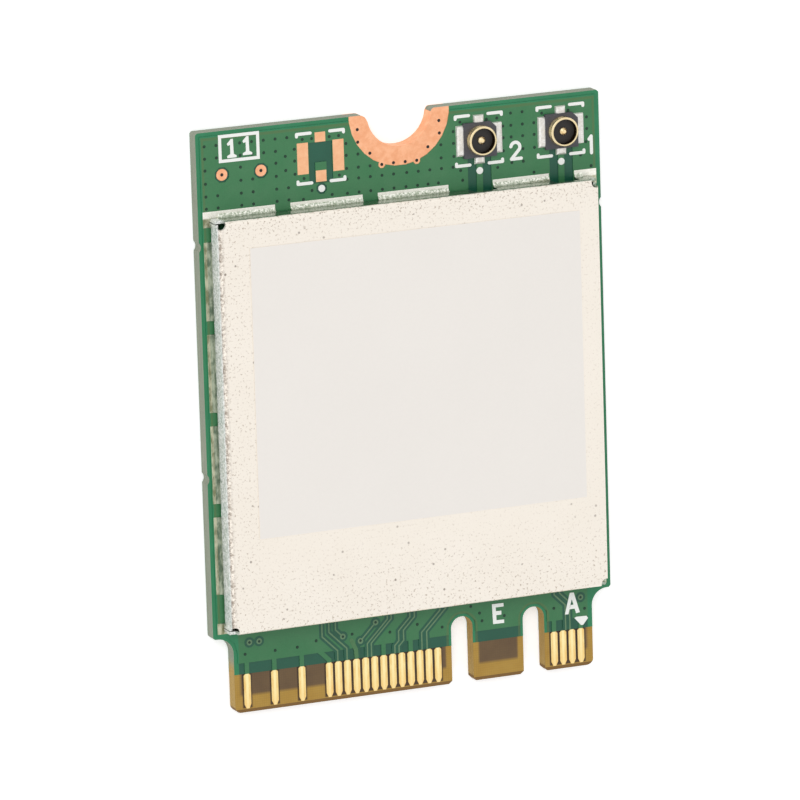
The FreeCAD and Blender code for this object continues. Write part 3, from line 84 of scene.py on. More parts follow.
class Paint:
    """A material in the making. Each method adds a node and returns its result; places are millimetres."""

    def __init__(self, name, **sockets):
        self.material = bpy.data.materials.new(name)
        self.material.use_nodes = True
        self.nodes = self.material.node_tree.nodes
        self.links = self.material.node_tree.links
        self.shader = self.nodes["Principled BSDF"]
        for socket, value in sockets.items():
            self.feed(self.shader.inputs[socket.replace("_", " ")], value)
        coordinates = self.nodes.new("ShaderNodeTexCoord").outputs["Object"]
        self.place = self.add("ShaderNodeVectorMath", {"Vector": coordinates, "Scale": 1 / MM},
                              operation="SCALE")
        split = self.nodes.new("ShaderNodeSeparateXYZ")
        self.feed(split.inputs[0], self.place)
        self.x, self.y, self.z = split.outputs

    def feed(self, socket, value):
        """Links a node's result to a socket, or sets the socket to a plain value."""
        if isinstance(value, bpy.types.NodeSocket):
            self.links.new(value, socket)
        else:
            socket.default_value = value

    def add(self, kind, inputs, output=0, **settings):
        """Any node, from its kind, what its inputs get, the output that counts and its own settings."""
        node = self.nodes.new(kind)
        for name, value in settings.items():
            setattr(node, name, value)
        for key, value in inputs.items():
            self.feed(node.inputs[key], value)
        return node.outputs[output]

    def calc(self, operation, first, second=0.0):
        return self.add("ShaderNodeMath", {0: first, 1: second}, operation=operation)

    def times(self, *factors):
        result = factors[0]
        for factor in factors[1:]:
            result = self.calc("MULTIPLY", result, factor)
        return result

    def length(self, across, along):
        """How long a line is that goes so far across and so far along."""
        return self.calc("SQRT", self.calc("ADD", self.times(across, across), self.times(along, along)))

    def either(self, *shares):
        """The largest of several shares."""
        result = shares[0]
        for share in shares[1:]:
            result = self.calc("MAXIMUM", result, share)
        return result

    def rise(self, value, start, end):
        """0 before start, 1 past end and smooth between; a start above the end gives a fall."""
        return self.add("ShaderNodeMapRange", {"Value": value, "From Min": start, "From Max": end},
                        interpolation_type="SMOOTHSTEP")

    def between(self, value, low, high, soft):
        """1 from low to high, and 0 outside, with soft steps."""
        return self.times(self.rise(value, low - soft, low + soft),
                          self.rise(value, high + soft, high - soft))

    def patch(self, left, low, right, high, soft):
        """1 inside a rectangle of the card, 0 outside."""
        return self.times(self.between(self.x, left, right, soft), self.between(self.y, low, high, soft))

    def stretched(self, across, along, up=1.0):
        """The place with its three axes scaled, so that a pattern on it is drawn out."""
        return self.add("ShaderNodeVectorMath", {0: self.place, 1: (across, along, up)}, operation="MULTIPLY")

    def grain(self, scale, detail, roughness=0.55, place=None):
        """Noise, with its scale in features to a millimetre."""
        return self.add("ShaderNodeTexNoise", {
            "Vector": place or self.place, "Scale": scale, "Detail": detail, "Roughness": roughness})

    def mix(self, share, low, high):
        return self.add("ShaderNodeMix", {0: share, 6: low, 7: high}, output=2, data_type="RGBA")

    def blend(self, share, low, high):
        """A number between low and high."""
        return self.add("ShaderNodeMapRange", {"Value": share, "To Min": low, "To Max": high})

    def shade(self, base, factor):
        """The colour made darker or lighter by a factor."""
        return self.add("ShaderNodeVectorMath", {0: base, "Scale": factor}, operation="SCALE")

    def finish(self, base, roughness=None, height=None, depth=0.0, strength=1.0, metallic=None):
        """Sets the colour, and a bump whose height of 1 stands depth millimetres proud."""
        self.feed(self.shader.inputs["Base Color"], base)
        if roughness is not None:
            self.feed(self.shader.inputs["Roughness"], roughness)
        if metallic is not None:
            self.feed(self.shader.inputs["Metallic"], metallic)
        if height is not None:
            bump = self.add("ShaderNodeBump", {
                "Height": height, "Strength": strength, "Distance": depth * MM})
            self.feed(self.shader.inputs["Normal"], bump)
        return self.material


# Width of the border where no copper shows, and where the pour inside it ends.
BORDER = 0.26
POUR_SIDE = half_width - BORDER
POUR_END = card_end - BORDER
# Where the mask ends above the contacts.
MASK_EDGE = -12.97
# A key slot: half its width, the strip beside it without a plane, and where its round end begins.
KEY_HALF = 0.6
KEY_MARGIN = 0.27
KEY_TURN_Y = card_low.y + 2.9
# How far the step between two tones of the mask reaches to each side.
EDGE_SOFT = 0.02
RIM_SOFT = 0.03
# The olive rim of the pour: from where to where inside the border it runs.
RIM_START = 0.02
RIM_STOP_SIDE = 0.14
RIM_STOP_END = 0.16

CONTACT_PITCH = 0.5
CONTACT_HALF = 0.19
FIRST_X = box_mm("front_edge_contacts")[1].x - CONTACT_HALF
# Runs of front contacts at full pitch, as their first and last position.
CONTACT_RUNS = ((1, 7), (33, 57), (63, 63), (69, 69), (75, 75))


def contact_x(position):
    """Middle of a contact; positions count from the right, two to a pitch."""
    return FIRST_X - (position - 1) * CONTACT_PITCH / 2


CONTACTS_LOW, CONTACTS_HIGH = (corner.y for corner in box_mm("front_edge_contacts"))
# Middle lines of the two key slots, from the first contact.
KEY_OFFSETS = (6.625, 2.625)
KEYS = tuple(FIRST_X - offset for offset in KEY_OFFSETS)
# The tab's width is taken close to the contact edge, and the shoulders' place close to the card's side.
NEAR_CONTACT_EDGE = 1.0
NEAR_SIDE = 0.3
board_points = [(vertex.co.x / MM, vertex.co.y / MM) for vertex in nodes["board_laminate"].data.vertices]
TAB_HALF = -min(x for x, y in board_points if y < card_low.y + NEAR_CONTACT_EDGE)
SHOULDER_Y = min(y for x, y in board_points if x > half_width - NEAR_SIDE)


def key_distance(paint):
    """How far a point is from the middle line of the nearest key slot."""
    past = paint.calc("MAXIMUM", paint.calc("SUBTRACT", paint.y, KEY_TURN_Y), 0.0)
    aside = None
    for key in KEYS:
        gap = paint.calc("ABSOLUTE", paint.calc("SUBTRACT", paint.x, key))
        aside = gap if aside is None else paint.calc("MINIMUM", aside, gap)
    return paint.length(aside, past)


def key_share(paint):
    """1 close beside a key slot, where the mask lies on clear laminate."""
    reach = KEY_HALF + KEY_MARGIN / 2
    return paint.rise(key_distance(paint), reach + EDGE_SOFT, reach - EDGE_SOFT)


def rim_share(paint):
    """1 along the pour's rim, where the mask is thin and looks olive."""
    size_x = paint.calc("ABSOLUTE", paint.x)
    side = paint.between(size_x, POUR_SIDE - RIM_STOP_SIDE, POUR_SIDE - RIM_START, RIM_SOFT)
    end = paint.between(paint.y, POUR_END - RIM_STOP_END, POUR_END - RIM_START, RIM_SOFT)
    key = paint.between(key_distance(paint), KEY_HALF + KEY_MARGIN / 2, KEY_HALF + KEY_MARGIN, RIM_SOFT)
    return paint.either(side, end, key)


def border_share(paint):
    """1 along the card's border, where no copper lies in any layer."""
    size_x = paint.calc("ABSOLUTE", paint.x)
    side = paint.rise(size_x, POUR_SIDE - EDGE_SOFT, POUR_SIDE + EDGE_SOFT)
    end = paint.rise(paint.y, POUR_END - EDGE_SOFT, POUR_END + EDGE_SOFT)
    below = paint.rise(paint.y, SHOULDER_Y + BORDER + EDGE_SOFT, SHOULDER_Y + BORDER - EDGE_SOFT)
    tab = paint.times(below, paint.rise(size_x, TAB_HALF - BORDER - RIM_SOFT, TAB_HALF - BORDER + RIM_SOFT))
    return paint.either(side, end, tab, key_share(paint))


def make_mask(name, over_low, over_high):
    """Green mask: lighter over the pour, dark over bare laminate, bright along the border.

    The tone over the pour sets in between the heights over_low and over_high.
    """
    paint = Paint(name, Roughness=0.34, IOR=1.5)
    over_copper = paint.rise(paint.z, over_low, over_high)
    cloud = paint.grain(0.9, 4.0)
    fine = paint.grain(14.0, 3.0)
    pour = paint.mix(cloud, colour(42, 116, 68), colour(70, 126, 84))
    bare = paint.mix(cloud, colour(14, 78, 56), colour(26, 94, 72))
    edge = paint.mix(cloud, colour(22, 112, 70), colour(46, 138, 94))
    rim = paint.times(rim_share(paint), paint.blend(paint.grain(2.2, 4.0), 0.25, 0.8))
    base = paint.mix(over_copper, bare, pour)
    # Below the shield the mask is a little darker.
    contact_end = paint.rise(paint.y, can_low.y + 1.0, can_low.y)
    base = paint.shade(base, paint.blend(contact_end, 1.0, 0.94))
    base = paint.mix(rim, base, colour(86, 112, 64))
    base = paint.mix(border_share(paint), base, edge)
    base = paint.shade(base, paint.blend(fine, 0.86, 1.14))
    return paint.finish(base, roughness=paint.blend(fine, 0.28, 0.42), height=paint.grain(5.0, 4.0),
                        depth=0.006, strength=0.5)


# The inner copper plane: half its width, its lower edge and how softly it shows through.
PLANE_HALF = 9.6
PLANE_LOW = -14.1
PLANE_SOFT = 0.12
# How far the painted shade of the gaps reaches past the outer contacts of a run.
GAP_REACH = 0.07


def make_laminate():
    """Glass and resin: yellowish where it is clear, brown where an inner copper plane shows through, and
    painted near black-brown as shade between and around the contacts.
    """
    paint = Paint("laminate_fibre", Roughness=0.5, IOR=1.5)
    threads = {"Vector": paint.place, "Scale": 2.6, "Distortion": 1.2}
    weave = paint.times(paint.add("ShaderNodeTexWave", threads, bands_direction="X"),
                        paint.add("ShaderNodeTexWave", threads, bands_direction="Y"))
    cloud = paint.grain(1.1, 3.0)
    clear = paint.mix(cloud, colour(164, 122, 34), colour(186, 150, 66))
    backed = paint.mix(cloud, colour(88, 64, 37), colour(114, 89, 54))
    inner = paint.patch(-PLANE_HALF, PLANE_LOW, PLANE_HALF, POUR_END, PLANE_SOFT)
    plane_edge = KEY_HALF + KEY_MARGIN
    off_keys = paint.rise(key_distance(paint), plane_edge - RIM_SOFT, plane_edge + PLANE_SOFT)
    inner = paint.times(inner, off_keys)
    flat = paint.mix(inner, clear, backed)
    # Painted shade: near black-brown between and around the raised contacts of each run, over the brown of
    # the inner plane.
    reach = CONTACT_HALF + GAP_REACH
    beside = [paint.patch(contact_x(last) - reach, CONTACTS_LOW + 0.02, contact_x(first) + reach,
                          CONTACTS_HIGH + 0.1, 0.04) for first, last in CONTACT_RUNS]
    front = paint.rise(paint.z, BOARD_MIDDLE, BOARD_MIDDLE + 0.1)
    flat = paint.mix(paint.times(paint.either(*beside), front, 0.92), flat, colour(44, 20, 2))
    flat = paint.shade(flat, paint.blend(weave, 0.93, 1.08))
    layers = paint.grain(1.0, 4.0, place=paint.stretched(0.5, 0.5, 22.0))
    cut = paint.mix(layers, colour(112, 122, 102), colour(176, 182, 164))
    amber = paint.mix(layers, colour(158, 124, 58), colour(210, 178, 108))
    bevel = paint.rise(paint.y, CONTACTS_LOW + 0.12, CONTACTS_LOW + 0.02)
    amber = paint.mix(bevel, amber, colour(128, 94, 44))
    in_slot = paint.rise(key_distance(paint), KEY_HALF + 0.1, KEY_HALF + 0.04)
    beside_contacts = paint.rise(paint.y, MASK_EDGE + 0.9, MASK_EDGE + 0.1)
    cut = paint.mix(paint.either(in_slot, beside_contacts), cut, amber)
    cut = paint.shade(cut, paint.blend(paint.grain(9.0, 3.0), 0.8, 1.15))
    side = paint.between(paint.z, laminate_low + 0.004, laminate_top - 0.004, 0.002)
    base = paint.mix(side, flat, cut)
    return paint.finish(base, roughness=paint.blend(side, 0.35, 0.75), height=paint.grain(12.0, 4.0),
                        depth=0.02, strength=0.5)


def make_metal(name, bright, dull, roughness, wear_scale, depth=0.008, metallic=1.0):
    """A metal whose colour and gloss wander between bright and dull."""
    paint = Paint(name, Metallic=metallic)
    wear = paint.grain(wear_scale, 5.0, 0.6)
    fine = paint.grain(wear_scale * 6, 3.0)
    base = paint.mix(paint.rise(wear, 0.35, 0.68), dull, bright)
    base = paint.shade(base, paint.blend(fine, 0.94, 1.05))
    rough = paint.calc("ADD", paint.blend(wear, roughness + 0.1, roughness - 0.06), paint.times(fine, 0.08))
    return paint.finish(base, roughness=rough, height=wear, depth=depth, strength=0.6)


# Half the width of a contact's bright face, and how far below the mask's edge its upper corners close in.
CONTACT_FACE_HALF = 0.185
CORNER_DROP = 0.09


def make_contact_gold():
    """Gold contacts, pale along the middle; their long edges and sides carry painted shade, and their upper
    corners are painted dark as well.
    """
    paint = Paint("contact_gold", Metallic=1.0)
    # The contacts of the back lie half a pitch aside.
    phase = paint.blend(paint.rise(paint.z, BOARD_MIDDLE + 0.05, BOARD_MIDDLE - 0.05), 0.0, 0.5)
    steps = paint.calc("DIVIDE", paint.calc("SUBTRACT", paint.x, FIRST_X), CONTACT_PITCH)
    steps = paint.calc("ADD", steps, phase)
    aside = paint.times(paint.calc("ABSOLUTE", paint.calc("SUBTRACT", steps, paint.calc("ROUND", steps))),
                        CONTACT_PITCH)
    corner = paint.calc("MAXIMUM", paint.calc("SUBTRACT", paint.y, MASK_EDGE - CORNER_DROP), 0.0)
    ends = paint.calc("ADD", aside, corner)
    # Painted shade: dark brown, not metallic, along the long edges and sides of each contact, and over its
    # upper corners.
    outline = paint.rise(ends, CONTACT_FACE_HALF - 0.012, CONTACT_FACE_HALF + 0.018)
    streaks = paint.grain(2.4, 5.0, 0.6, place=paint.stretched(3.0, 0.6))
    gold = paint.mix(paint.rise(streaks, 0.32, 0.68), colour(240, 200, 124), colour(252, 228, 160))
    gold = paint.mix(paint.rise(aside, 0.11, 0.02), gold, colour(255, 238, 178))
    lower = paint.rise(paint.y, CONTACTS_HIGH - 0.5, CONTACTS_LOW)
    gold = paint.mix(paint.times(lower, 0.45), gold, colour(248, 206, 128))
    gold = paint.shade(gold, paint.blend(paint.grain(15.0, 3.0), 0.95, 1.04))
    base = paint.mix(outline, gold, colour(64, 34, 6))
    return paint.finish(base, roughness=paint.blend(outline, 0.34, 0.6), height=streaks, depth=0.006,
                        strength=0.5, metallic=paint.blend(outline, 1.0, 0.0))


def make_lands():
    """Bare salmon copper at the unused footprint, and tin where a port is soldered."""
    paint = Paint("port_lands", Metallic=1.0)
    streaks = paint.grain(3.2, 5.0, 0.6)
    fine = paint.grain(18.0, 3.0)
    bare = paint.mix(streaks, colour(232, 166, 122), colour(255, 206, 164))
    tinned = paint.mix(streaks, colour(176, 170, 140), colour(222, 218, 200))
    base = paint.mix(paint.rise(paint.x, -0.5, 0.5), bare, tinned)
    base = paint.shade(base, paint.blend(fine, 0.93, 1.06))
    return paint.finish(base, roughness=paint.blend(streaks, 0.5, 0.38), height=streaks, depth=0.01,
                        strength=0.5)


def make_pad_tin(name, bright, dull, end_bright, end_dull):
    """Tinned strips, in one pair of tones along the long sides and another at the screw end; the darker tones
    along the long sides are painted shade beside the shield's walls.
    """
    paint = Paint(name, Metallic=1.0)
    streaks = paint.grain(4.5, 5.0, 0.65, place=paint.stretched(1.0, 0.35))
    fine = paint.grain(20.0, 3.0)
    screw_end = paint.rise(paint.y, can_high.y - 0.05, can_high.y + 0.05)
    side = paint.mix(paint.rise(streaks, 0.36, 0.64), dull, bright)
    stipple = paint.rise(paint.grain(9.0, 5.0, 0.75), 0.4, 0.6)
    base = paint.mix(screw_end, side, paint.mix(stipple, end_dull, end_bright))
    base = paint.shade(base, paint.blend(fine, 0.9, 1.08))
    return paint.finish(base, roughness=0.42, height=streaks, depth=0.02, strength=0.5)


# How far the shield's specks crowd in from its left side, its contact end and its screw end.
CROWD_LEFT = 3.0
CROWD_LOW = 5.0
CROWD_HIGH = 1.8
# Depths below the shield's top: where the left wall's crystals begin and where they are dense, and
# where the wall's tones give way to those of the top.
CRYSTALS_LOW = 1.12
CRYSTALS_HIGH = 0.92
WALL_TOP = 0.2
TOP_START = 0.12


def make_shield():
    """Tinned sheet: a cream top with dark specks; walls painted darker and grey-green below, as shade and as
    a reflection of the green board, and crystalline at the fold.
    """
    paint = Paint("tinned_sheet", Metallic=1.0)
    cloud = paint.grain(0.35, 4.0)
    near_left = paint.rise(paint.x, can_low.x + CROWD_LEFT, can_low.x)
    near_low = paint.rise(paint.y, can_low.y + CROWD_LOW, can_low.y)
    near_high = paint.rise(paint.y, can_high.y - CROWD_HIGH, can_high.y - 0.2)
    crowd = paint.either(near_left, near_low, near_high)
    fine = paint.calc("ADD", paint.grain(8.0, 4.0, 0.65), paint.times(near_high, 0.02))
    fine = paint.rise(fine, 0.555, 0.68)
    # Larger blots, in those cells of a pattern whose random colour is bright enough.
    cells = {"Vector": paint.place, "Scale": 1.5}
    blots = paint.add("ShaderNodeTexVoronoi", cells, output="Distance")
    chance = paint.add("ShaderNodeTexVoronoi", cells, output="Color")
    picked = paint.rise(chance, 0.52, 0.56)
    blots = paint.times(paint.rise(blots, 0.13, 0.05), picked)
    top = paint.mix(cloud, colour(240, 232, 220), colour(246, 239, 229))
    top = paint.mix(paint.times(fine, paint.blend(crowd, 0.22, 0.8)), top, colour(164, 147, 128))
    top = paint.mix(paint.times(blots, paint.blend(crowd, 0.5, 0.85)), top, colour(128, 116, 106))
    # The walls: stippled grey-green, as painted shade and painted reflection of the green board, with jagged
    # white crystals under the fold on the long left side.
    stipple = paint.rise(paint.grain(9.0, 5.0, 0.75), 0.43, 0.57)
    wall = paint.mix(stipple, colour(132, 144, 128), colour(188, 196, 184))
    left_side = paint.rise(paint.x, can_low.x + 0.5, can_low.x + 0.3)
    wander = paint.calc("SUBTRACT", paint.grain(2.8, 5.0, 0.8), 0.5)
    jagged = paint.calc("ADD", paint.z, paint.times(wander, 1.6))
    ragged = paint.rise(jagged, can_high.z - CRYSTALS_LOW, can_high.z - CRYSTALS_HIGH)
    wall = paint.mix(paint.times(ragged, left_side), wall,
                     paint.mix(stipple, colour(198, 206, 198), colour(255, 255, 253)))
    above = paint.rise(paint.calc("ADD", paint.z, paint.times(paint.grain(4.2, 4.0, 0.7), -0.1)),
                       can_high.z - WALL_TOP, can_high.z - TOP_START)
    base = paint.mix(above, wall, top)
    # The fold over the left wall is mottled.
    fold = paint.times(paint.rise(paint.x, can_low.x + 0.34, can_low.x + 0.04),
                       paint.rise(paint.z, can_high.z - 0.16, can_high.z - 0.1))
    mottle = paint.rise(paint.grain(6.0, 5.0, 0.75), 0.44, 0.58)
    base = paint.mix(paint.times(fold, paint.blend(mottle, 0.1, 1.0)), base, colour(152, 140, 128))
    rough = paint.mix(above, (0.2, 0.2, 0.2, 1), (0.42, 0.42, 0.42, 1))
    height = paint.calc("ADD", paint.times(paint.grain(3.5, 5.0, 0.6), paint.blend(above, 1.0, 0.12)),
                        paint.times(paint.either(fine, blots), -0.1))
    # The left wall scatters light like a matt white body, so it is hardly metallic.
    scatter = paint.times(left_side, paint.rise(paint.z, can_high.z - 0.04, can_high.z - 0.1))
    return paint.finish(base, roughness=rough, height=height, depth=0.05, strength=0.5,
                        metallic=paint.blend(scatter, 1.0, 0.1))


def make_label():
    """Plain pale label stock."""
    paint = Paint("label_stock", Roughness=0.5)
    fibre = paint.grain(9.0, 5.0, 0.65)
    cloud = paint.grain(0.25, 3.0)
    base = paint.mix(cloud, colour(244, 239, 233), colour(248, 243, 237))
    base = paint.shade(base, paint.blend(fibre, 0.975, 1.02))
    return paint.finish(base, roughness=paint.blend(fibre, 0.42, 0.58), height=fibre, depth=0.006,
                        strength=0.4)


def make_ink():
    """White printing ink."""
    paint = Paint("white_ink", Roughness=0.5)
    grain = paint.grain(16.0, 4.0)
    base = paint.mix(grain, colour(244, 247, 241), colour(255, 255, 253))
    return paint.finish(base, height=grain, depth=0.006, strength=0.4)


# The port's ring: the radius inside which its metal counts as the bore's, painted dark as shade, the radius
# under its wall where the moulding's tone changes to painted shade, and how high over the mask the tin of its
# soldered tails reaches.
BORE_LIMIT = 0.69
RING_WALL = 0.73
TAIL_HEIGHT = 0.15


def port_distance(paint):
    """How far a point is from the axis of the nearest port."""
    nearest = None
    for port in (port_1, port_2):
        away_x = paint.calc("SUBTRACT", paint.x, port.x)
        away_y = paint.calc("SUBTRACT", paint.y, port.y)
        away = paint.length(away_x, away_y)
        nearest = away if nearest is None else paint.calc("MINIMUM", nearest, away)
    return nearest


def make_port_metal():
    """Gold ring whose soldered tails are tinned; its bore below the lip is painted dark brown, as shade and
    as a reflection of the dark moulding.
    """
    paint = Paint("port_plating", Metallic=1.0)
    streaks = paint.grain(5.0, 4.0)
    gold = paint.mix(streaks, colour(228, 200, 144), colour(252, 238, 200))
    # Painted shade and painted reflection: the bore below the lip is dark brown, as shade and as the dark
    # moulding mirrored in the gold.
    below_lip = paint.rise(paint.z, port_top - 0.03, port_top - 0.07)
    inside = paint.rise(port_distance(paint), BORE_LIMIT + 0.01, BORE_LIMIT - 0.01)
    gold = paint.mix(paint.times(inside, below_lip), gold, colour(74, 52, 24))
    tin = paint.mix(streaks, colour(206, 204, 200), colour(246, 244, 242))
    above_tails = paint.rise(paint.z, mask_top + TAIL_HEIGHT - 0.03, mask_top + TAIL_HEIGHT + 0.03)
    base = paint.mix(above_tails, tin, gold)
    return paint.finish(base, roughness=paint.blend(streaks, 0.2, 0.36), height=streaks, depth=0.006,
                        strength=0.4)


def make_port_moulding():
    """Grey moulded base, with painted shade where it lies inside the ring."""
    paint = Paint("port_moulding", Roughness=0.55)
    fine = paint.grain(6.0, 4.0, 0.65)
    outside = paint.mix(paint.grain(1.5, 3.0), colour(54, 54, 60), colour(84, 84, 90))
    # Painted shade on the floor inside the ring.
    inside = paint.rise(port_distance(paint), RING_WALL + 0.03, RING_WALL - 0.03)
    base = paint.mix(inside, outside, colour(34, 30, 28))
    base = paint.shade(base, paint.blend(fine, 0.88, 1.1))
    return paint.finish(base, roughness=paint.blend(fine, 0.47, 0.65), height=fine, depth=0.01, strength=0.5)


MOULD_GRAIN = 6.0


def make_moulded(name, dark, light, roughness):
    """A moulded, pressed or sintered body with a fine matt grain."""
    paint = Paint(name, Roughness=roughness)
    cloud = paint.grain(MOULD_GRAIN / 4, 3.0)
    fine = paint.grain(MOULD_GRAIN, 4.0, 0.65)
    base = paint.shade(paint.mix(cloud, dark, light), paint.blend(fine, 0.88, 1.1))
    return paint.finish(base, roughness=paint.blend(fine, roughness - 0.08, roughness + 0.1), height=fine,
                        depth=0.01, strength=0.5)


# The mask stands proud over copper, and its tone changes halfway up that step.
STEP_SOFT = 0.005
front_step = (mask_low_top + mask_top) / 2
front_mask_paint = make_mask("front_mask_green", front_step - STEP_SOFT, front_step + STEP_SOFT)
back_mask_paint = make_mask("back_mask_green", mask_thickness + STEP_SOFT, mask_thickness - STEP_SOFT)
laminate_paint = make_laminate()
contact_gold = make_contact_gold()
ring_copper = make_metal("ring_copper", colour(250, 190, 150), colour(240, 174, 132), 0.46, 2.4)
foil_copper = make_metal("foil_copper", colour(236, 168, 116), colour(200, 130, 84), 0.4, 2.0)
# The darker, greener tones of pads and fillets along the long sides are painted shade at the foot of the
# shield's walls.
pad_tin_and_shade = make_pad_tin("pad_tin_and_shade", colour(208, 206, 180), colour(136, 138, 106),
                       colour(255, 252, 244), colour(244, 241, 230))
fillet_tin_and_shade = make_pad_tin("fillet_tin_and_shade", colour(152, 160, 140), colour(84, 100, 82),
                          colour(248, 248, 238), colour(160, 171, 149))
solder_tin = make_metal("solder_tin", colour(248, 246, 242), colour(226, 222, 214), 0.24, 5.0,
                        depth=0.03, metallic=0.4)
cap_tin = make_metal("end_cap_tin", colour(236, 234, 228), colour(190, 188, 182), 0.32, 5.0)
land_paint = make_lands()
shield_paint = make_shield()
label_paint = make_label()
ink_paint = make_ink()
port_paint = make_port_metal()
pin_gold = make_metal("pin_gold", colour(255, 240, 200), colour(244, 214, 158), 0.28, 6.0)
port_moulding = make_port_moulding()
chip_black = make_moulded("chip_black", colour(30, 31, 33), colour(44, 45, 47), 0.62)
ceramic_tan = make_moulded("ceramic_tan", colour(150, 118, 88), colour(176, 146, 112), 0.48)
ferrite_grey = make_moulded("ferrite_grey", colour(56, 54, 52), colour(74, 72, 68), 0.58)
# Painted shade: the dark dots over the covered via holes.
via_shade = make_moulded("via_shade", colour(5, 44, 27), colour(14, 60, 39), 0.6)
lane_green = make_moulded("lane_green", colour(16, 76, 54), colour(30, 94, 70), 0.4)
trace_green = make_moulded("trace_green", colour(84, 122, 88), colour(112, 142, 106), 0.4)
stub_green = make_moulded("stub_green", colour(58, 112, 68), colour(84, 126, 82), 0.4)
# Painted shade: the dark dots of the drilled holes.
hole_shade = make_moulded("hole_shade", colour(14, 10, 8), colour(34, 24, 18), 0.6)

FINISHES = {
    "board_laminate": laminate_paint,
    "front_copper_foil": foil_copper,
    "back_copper_foil": foil_copper,
    "front_solder_mask": front_mask_paint,
    "back_solder_mask": back_mask_paint,
    "front_edge_contacts": contact_gold,
    "back_edge_contacts": contact_gold,
    "screw_notch_plating": ring_copper,
    "shield_pads": pad_tin_and_shade,
    "shield_solder": fillet_tin_and_shade,
    "shield_can": shield_paint,
    "blank_label": label_paint,
    "port_1_shell": port_paint,
    "port_2_shell": port_paint,
    "port_1_pin": pin_gold,
    "port_2_pin": pin_gold,
    "port_1_insulator": port_moulding,
    "port_2_insulator": port_moulding,
    "port_solder": solder_tin,
    "antenna_port_pads": land_paint,
    "test_pads": ring_copper,
    "radio_chip": chip_black,
    "radio_chip_terminals": solder_tin,
    "front_end_module_1": chip_black,
    "front_end_module_2": chip_black,
    "band_filters": ceramic_tan,
    "reference_crystal": cap_tin,
    "power_inductors": ferrite_grey,
    "memory_chip": chip_black,
    "ceramic_capacitors": ceramic_tan,
    "capacitor_end_caps": cap_tin,
    "chip_resistors": chip_black,
}
for node, paint in FINISHES.items():
    for material_slot in nodes[node].material_slots:
        material_slot.material = paint


# Small pieces that lie on the card.
def new_piece(name, builder, paint, slot, *replaced):
    """A piece from a bmesh in millimetres, riding on the card in place of the replaced nodes."""
    mesh = bpy.data.meshes.new(name)
    builder.transform(Matrix.Scale(MM, 4))
    bmesh.ops.recalc_face_normals(builder, faces=builder.faces)
    builder.to_mesh(mesh)
    builder.free()
    piece = bpy.data.objects.new(name, mesh)
    bpy.context.collection.objects.link(piece)
    mesh.materials.append(paint)
    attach(piece, "root")
    if replaced:
        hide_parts(*replaced)


def prism(builder, outline, low, high):
    """A closed upright prism over an outline."""
    bottom = [builder.verts.new((x, y, low)) for x, y in outline]
    top = [builder.verts.new((x, y, high)) for x, y in outline]
    builder.faces.new(bottom)
    builder.faces.new(top)
    count = len(outline)
    for i in range(count):
        j = (i + 1) % count
        builder.faces.new((bottom[i], bottom[j], top[j], top[i]))


def arc_points(x, y, radius, start, end, steps):
    """Points along an arc, with its angles in degrees."""
    turns = [math.radians(start + (end - start) * step / steps) for step in range(steps + 1)]
    return [(x + radius * math.cos(turn), y + radius * math.sin(turn)) for turn in turns]


def round_outline(x, y, radius, sides=24):
    """A circle as an outline."""
    return arc_points(x, y, radius, 0, 360, sides)[:-1]


def stroke_outline(points, width):
    """The outline of a line of even width with round ends and rounded outer corners."""
    half = width / 2
    spots = [Vector(point) for point in points]
    headings = [math.degrees(math.atan2((b - a).y, (b - a).x)) for a, b in zip(spots, spots[1:])]

    def one_side(spots, headings):
        side = []
        for i in range(1, len(spots) - 1):
            turn = (headings[i] - headings[i - 1] + 180) % 360 - 180
            x, y = spots[i]
            before = headings[i - 1]
            if turn < 0:
                side += arc_points(x, y, half, before + 90, before + 90 + turn, 6)
            else:
                middle = math.radians(before + turn / 2 + 90)
                reach = half / math.cos(math.radians(turn / 2))
                side.append((x + reach * math.cos(middle), y + reach * math.sin(middle)))
        x, y = spots[-1]
        return side + arc_points(x, y, half, headings[-1] + 90, headings[-1] - 90, 10)

    back = [(heading + 180) % 360 for heading in reversed(headings)]
    return one_side(spots, headings) + one_side(spots[::-1], back)


# White printing: width of its lines, and its height, which lies over all other thin marks.
INK_LINE = 0.16
INK_TOP = mask_top + 0.026
# Corner brackets of a port: half their square, their long arms and short stubs, and the dot below them.
BRACKET_HALF = 1.27
BRACKET_ARM = 0.74
BRACKET_STUB = 0.12
DOT_RADIUS = 0.18
DOT_DROP = 1.61
# Printed letter E, as its outline: stem and three bars.
LETTER_E = ((4.31, -11.07), (4.95, -11.08), (4.96, -11.26), (4.51, -11.26), (4.52, -11.46), (4.82, -11.47),
            (4.82, -11.67), (4.53, -11.67), (4.54, -11.94), (4.96, -11.95), (4.96, -12.13), (4.35, -12.12))
# Printed letter A, as a left leg, a right leg and the bar between them.
LETTER_A = (((8.675, -11.02), (8.785, -11.02), (8.775, -11.35), (8.565, -12.14), (8.37, -12.13)),
            ((8.785, -11.02), (8.895, -11.03), (9.21, -12.11), (9.0, -12.14), (8.775, -11.35)),
            ((8.672, -11.67), (8.866, -11.67), (8.928, -11.885), (8.634, -11.885)))
POINTER = ((8.90, -12.38), (9.02, -12.33), (9.58, -12.35), (9.66, -12.47), (9.38, -12.80), (9.26, -12.80))
# A printed digit 1 with a flag and a foot, from the middle of its foot upwards.
DIGIT_ONE = ((-0.25, 0.0), (0.25, 0.0), (0.25, 0.1), (0.1, 0.19), (0.08, 0.95), (-0.03, 0.95), (-0.25, 0.72),
             (-0.2, 0.62), (-0.08, 0.66), (-0.08, 0.19), (-0.25, 0.1))
FRAME_DIGITS = ((-9.09, 13.6), (-8.25, 13.66))
FRAME_LEFT, FRAME_RIGHT = -9.8, -7.6
FRAME_LOW, FRAME_HIGH = 13.39, 14.8
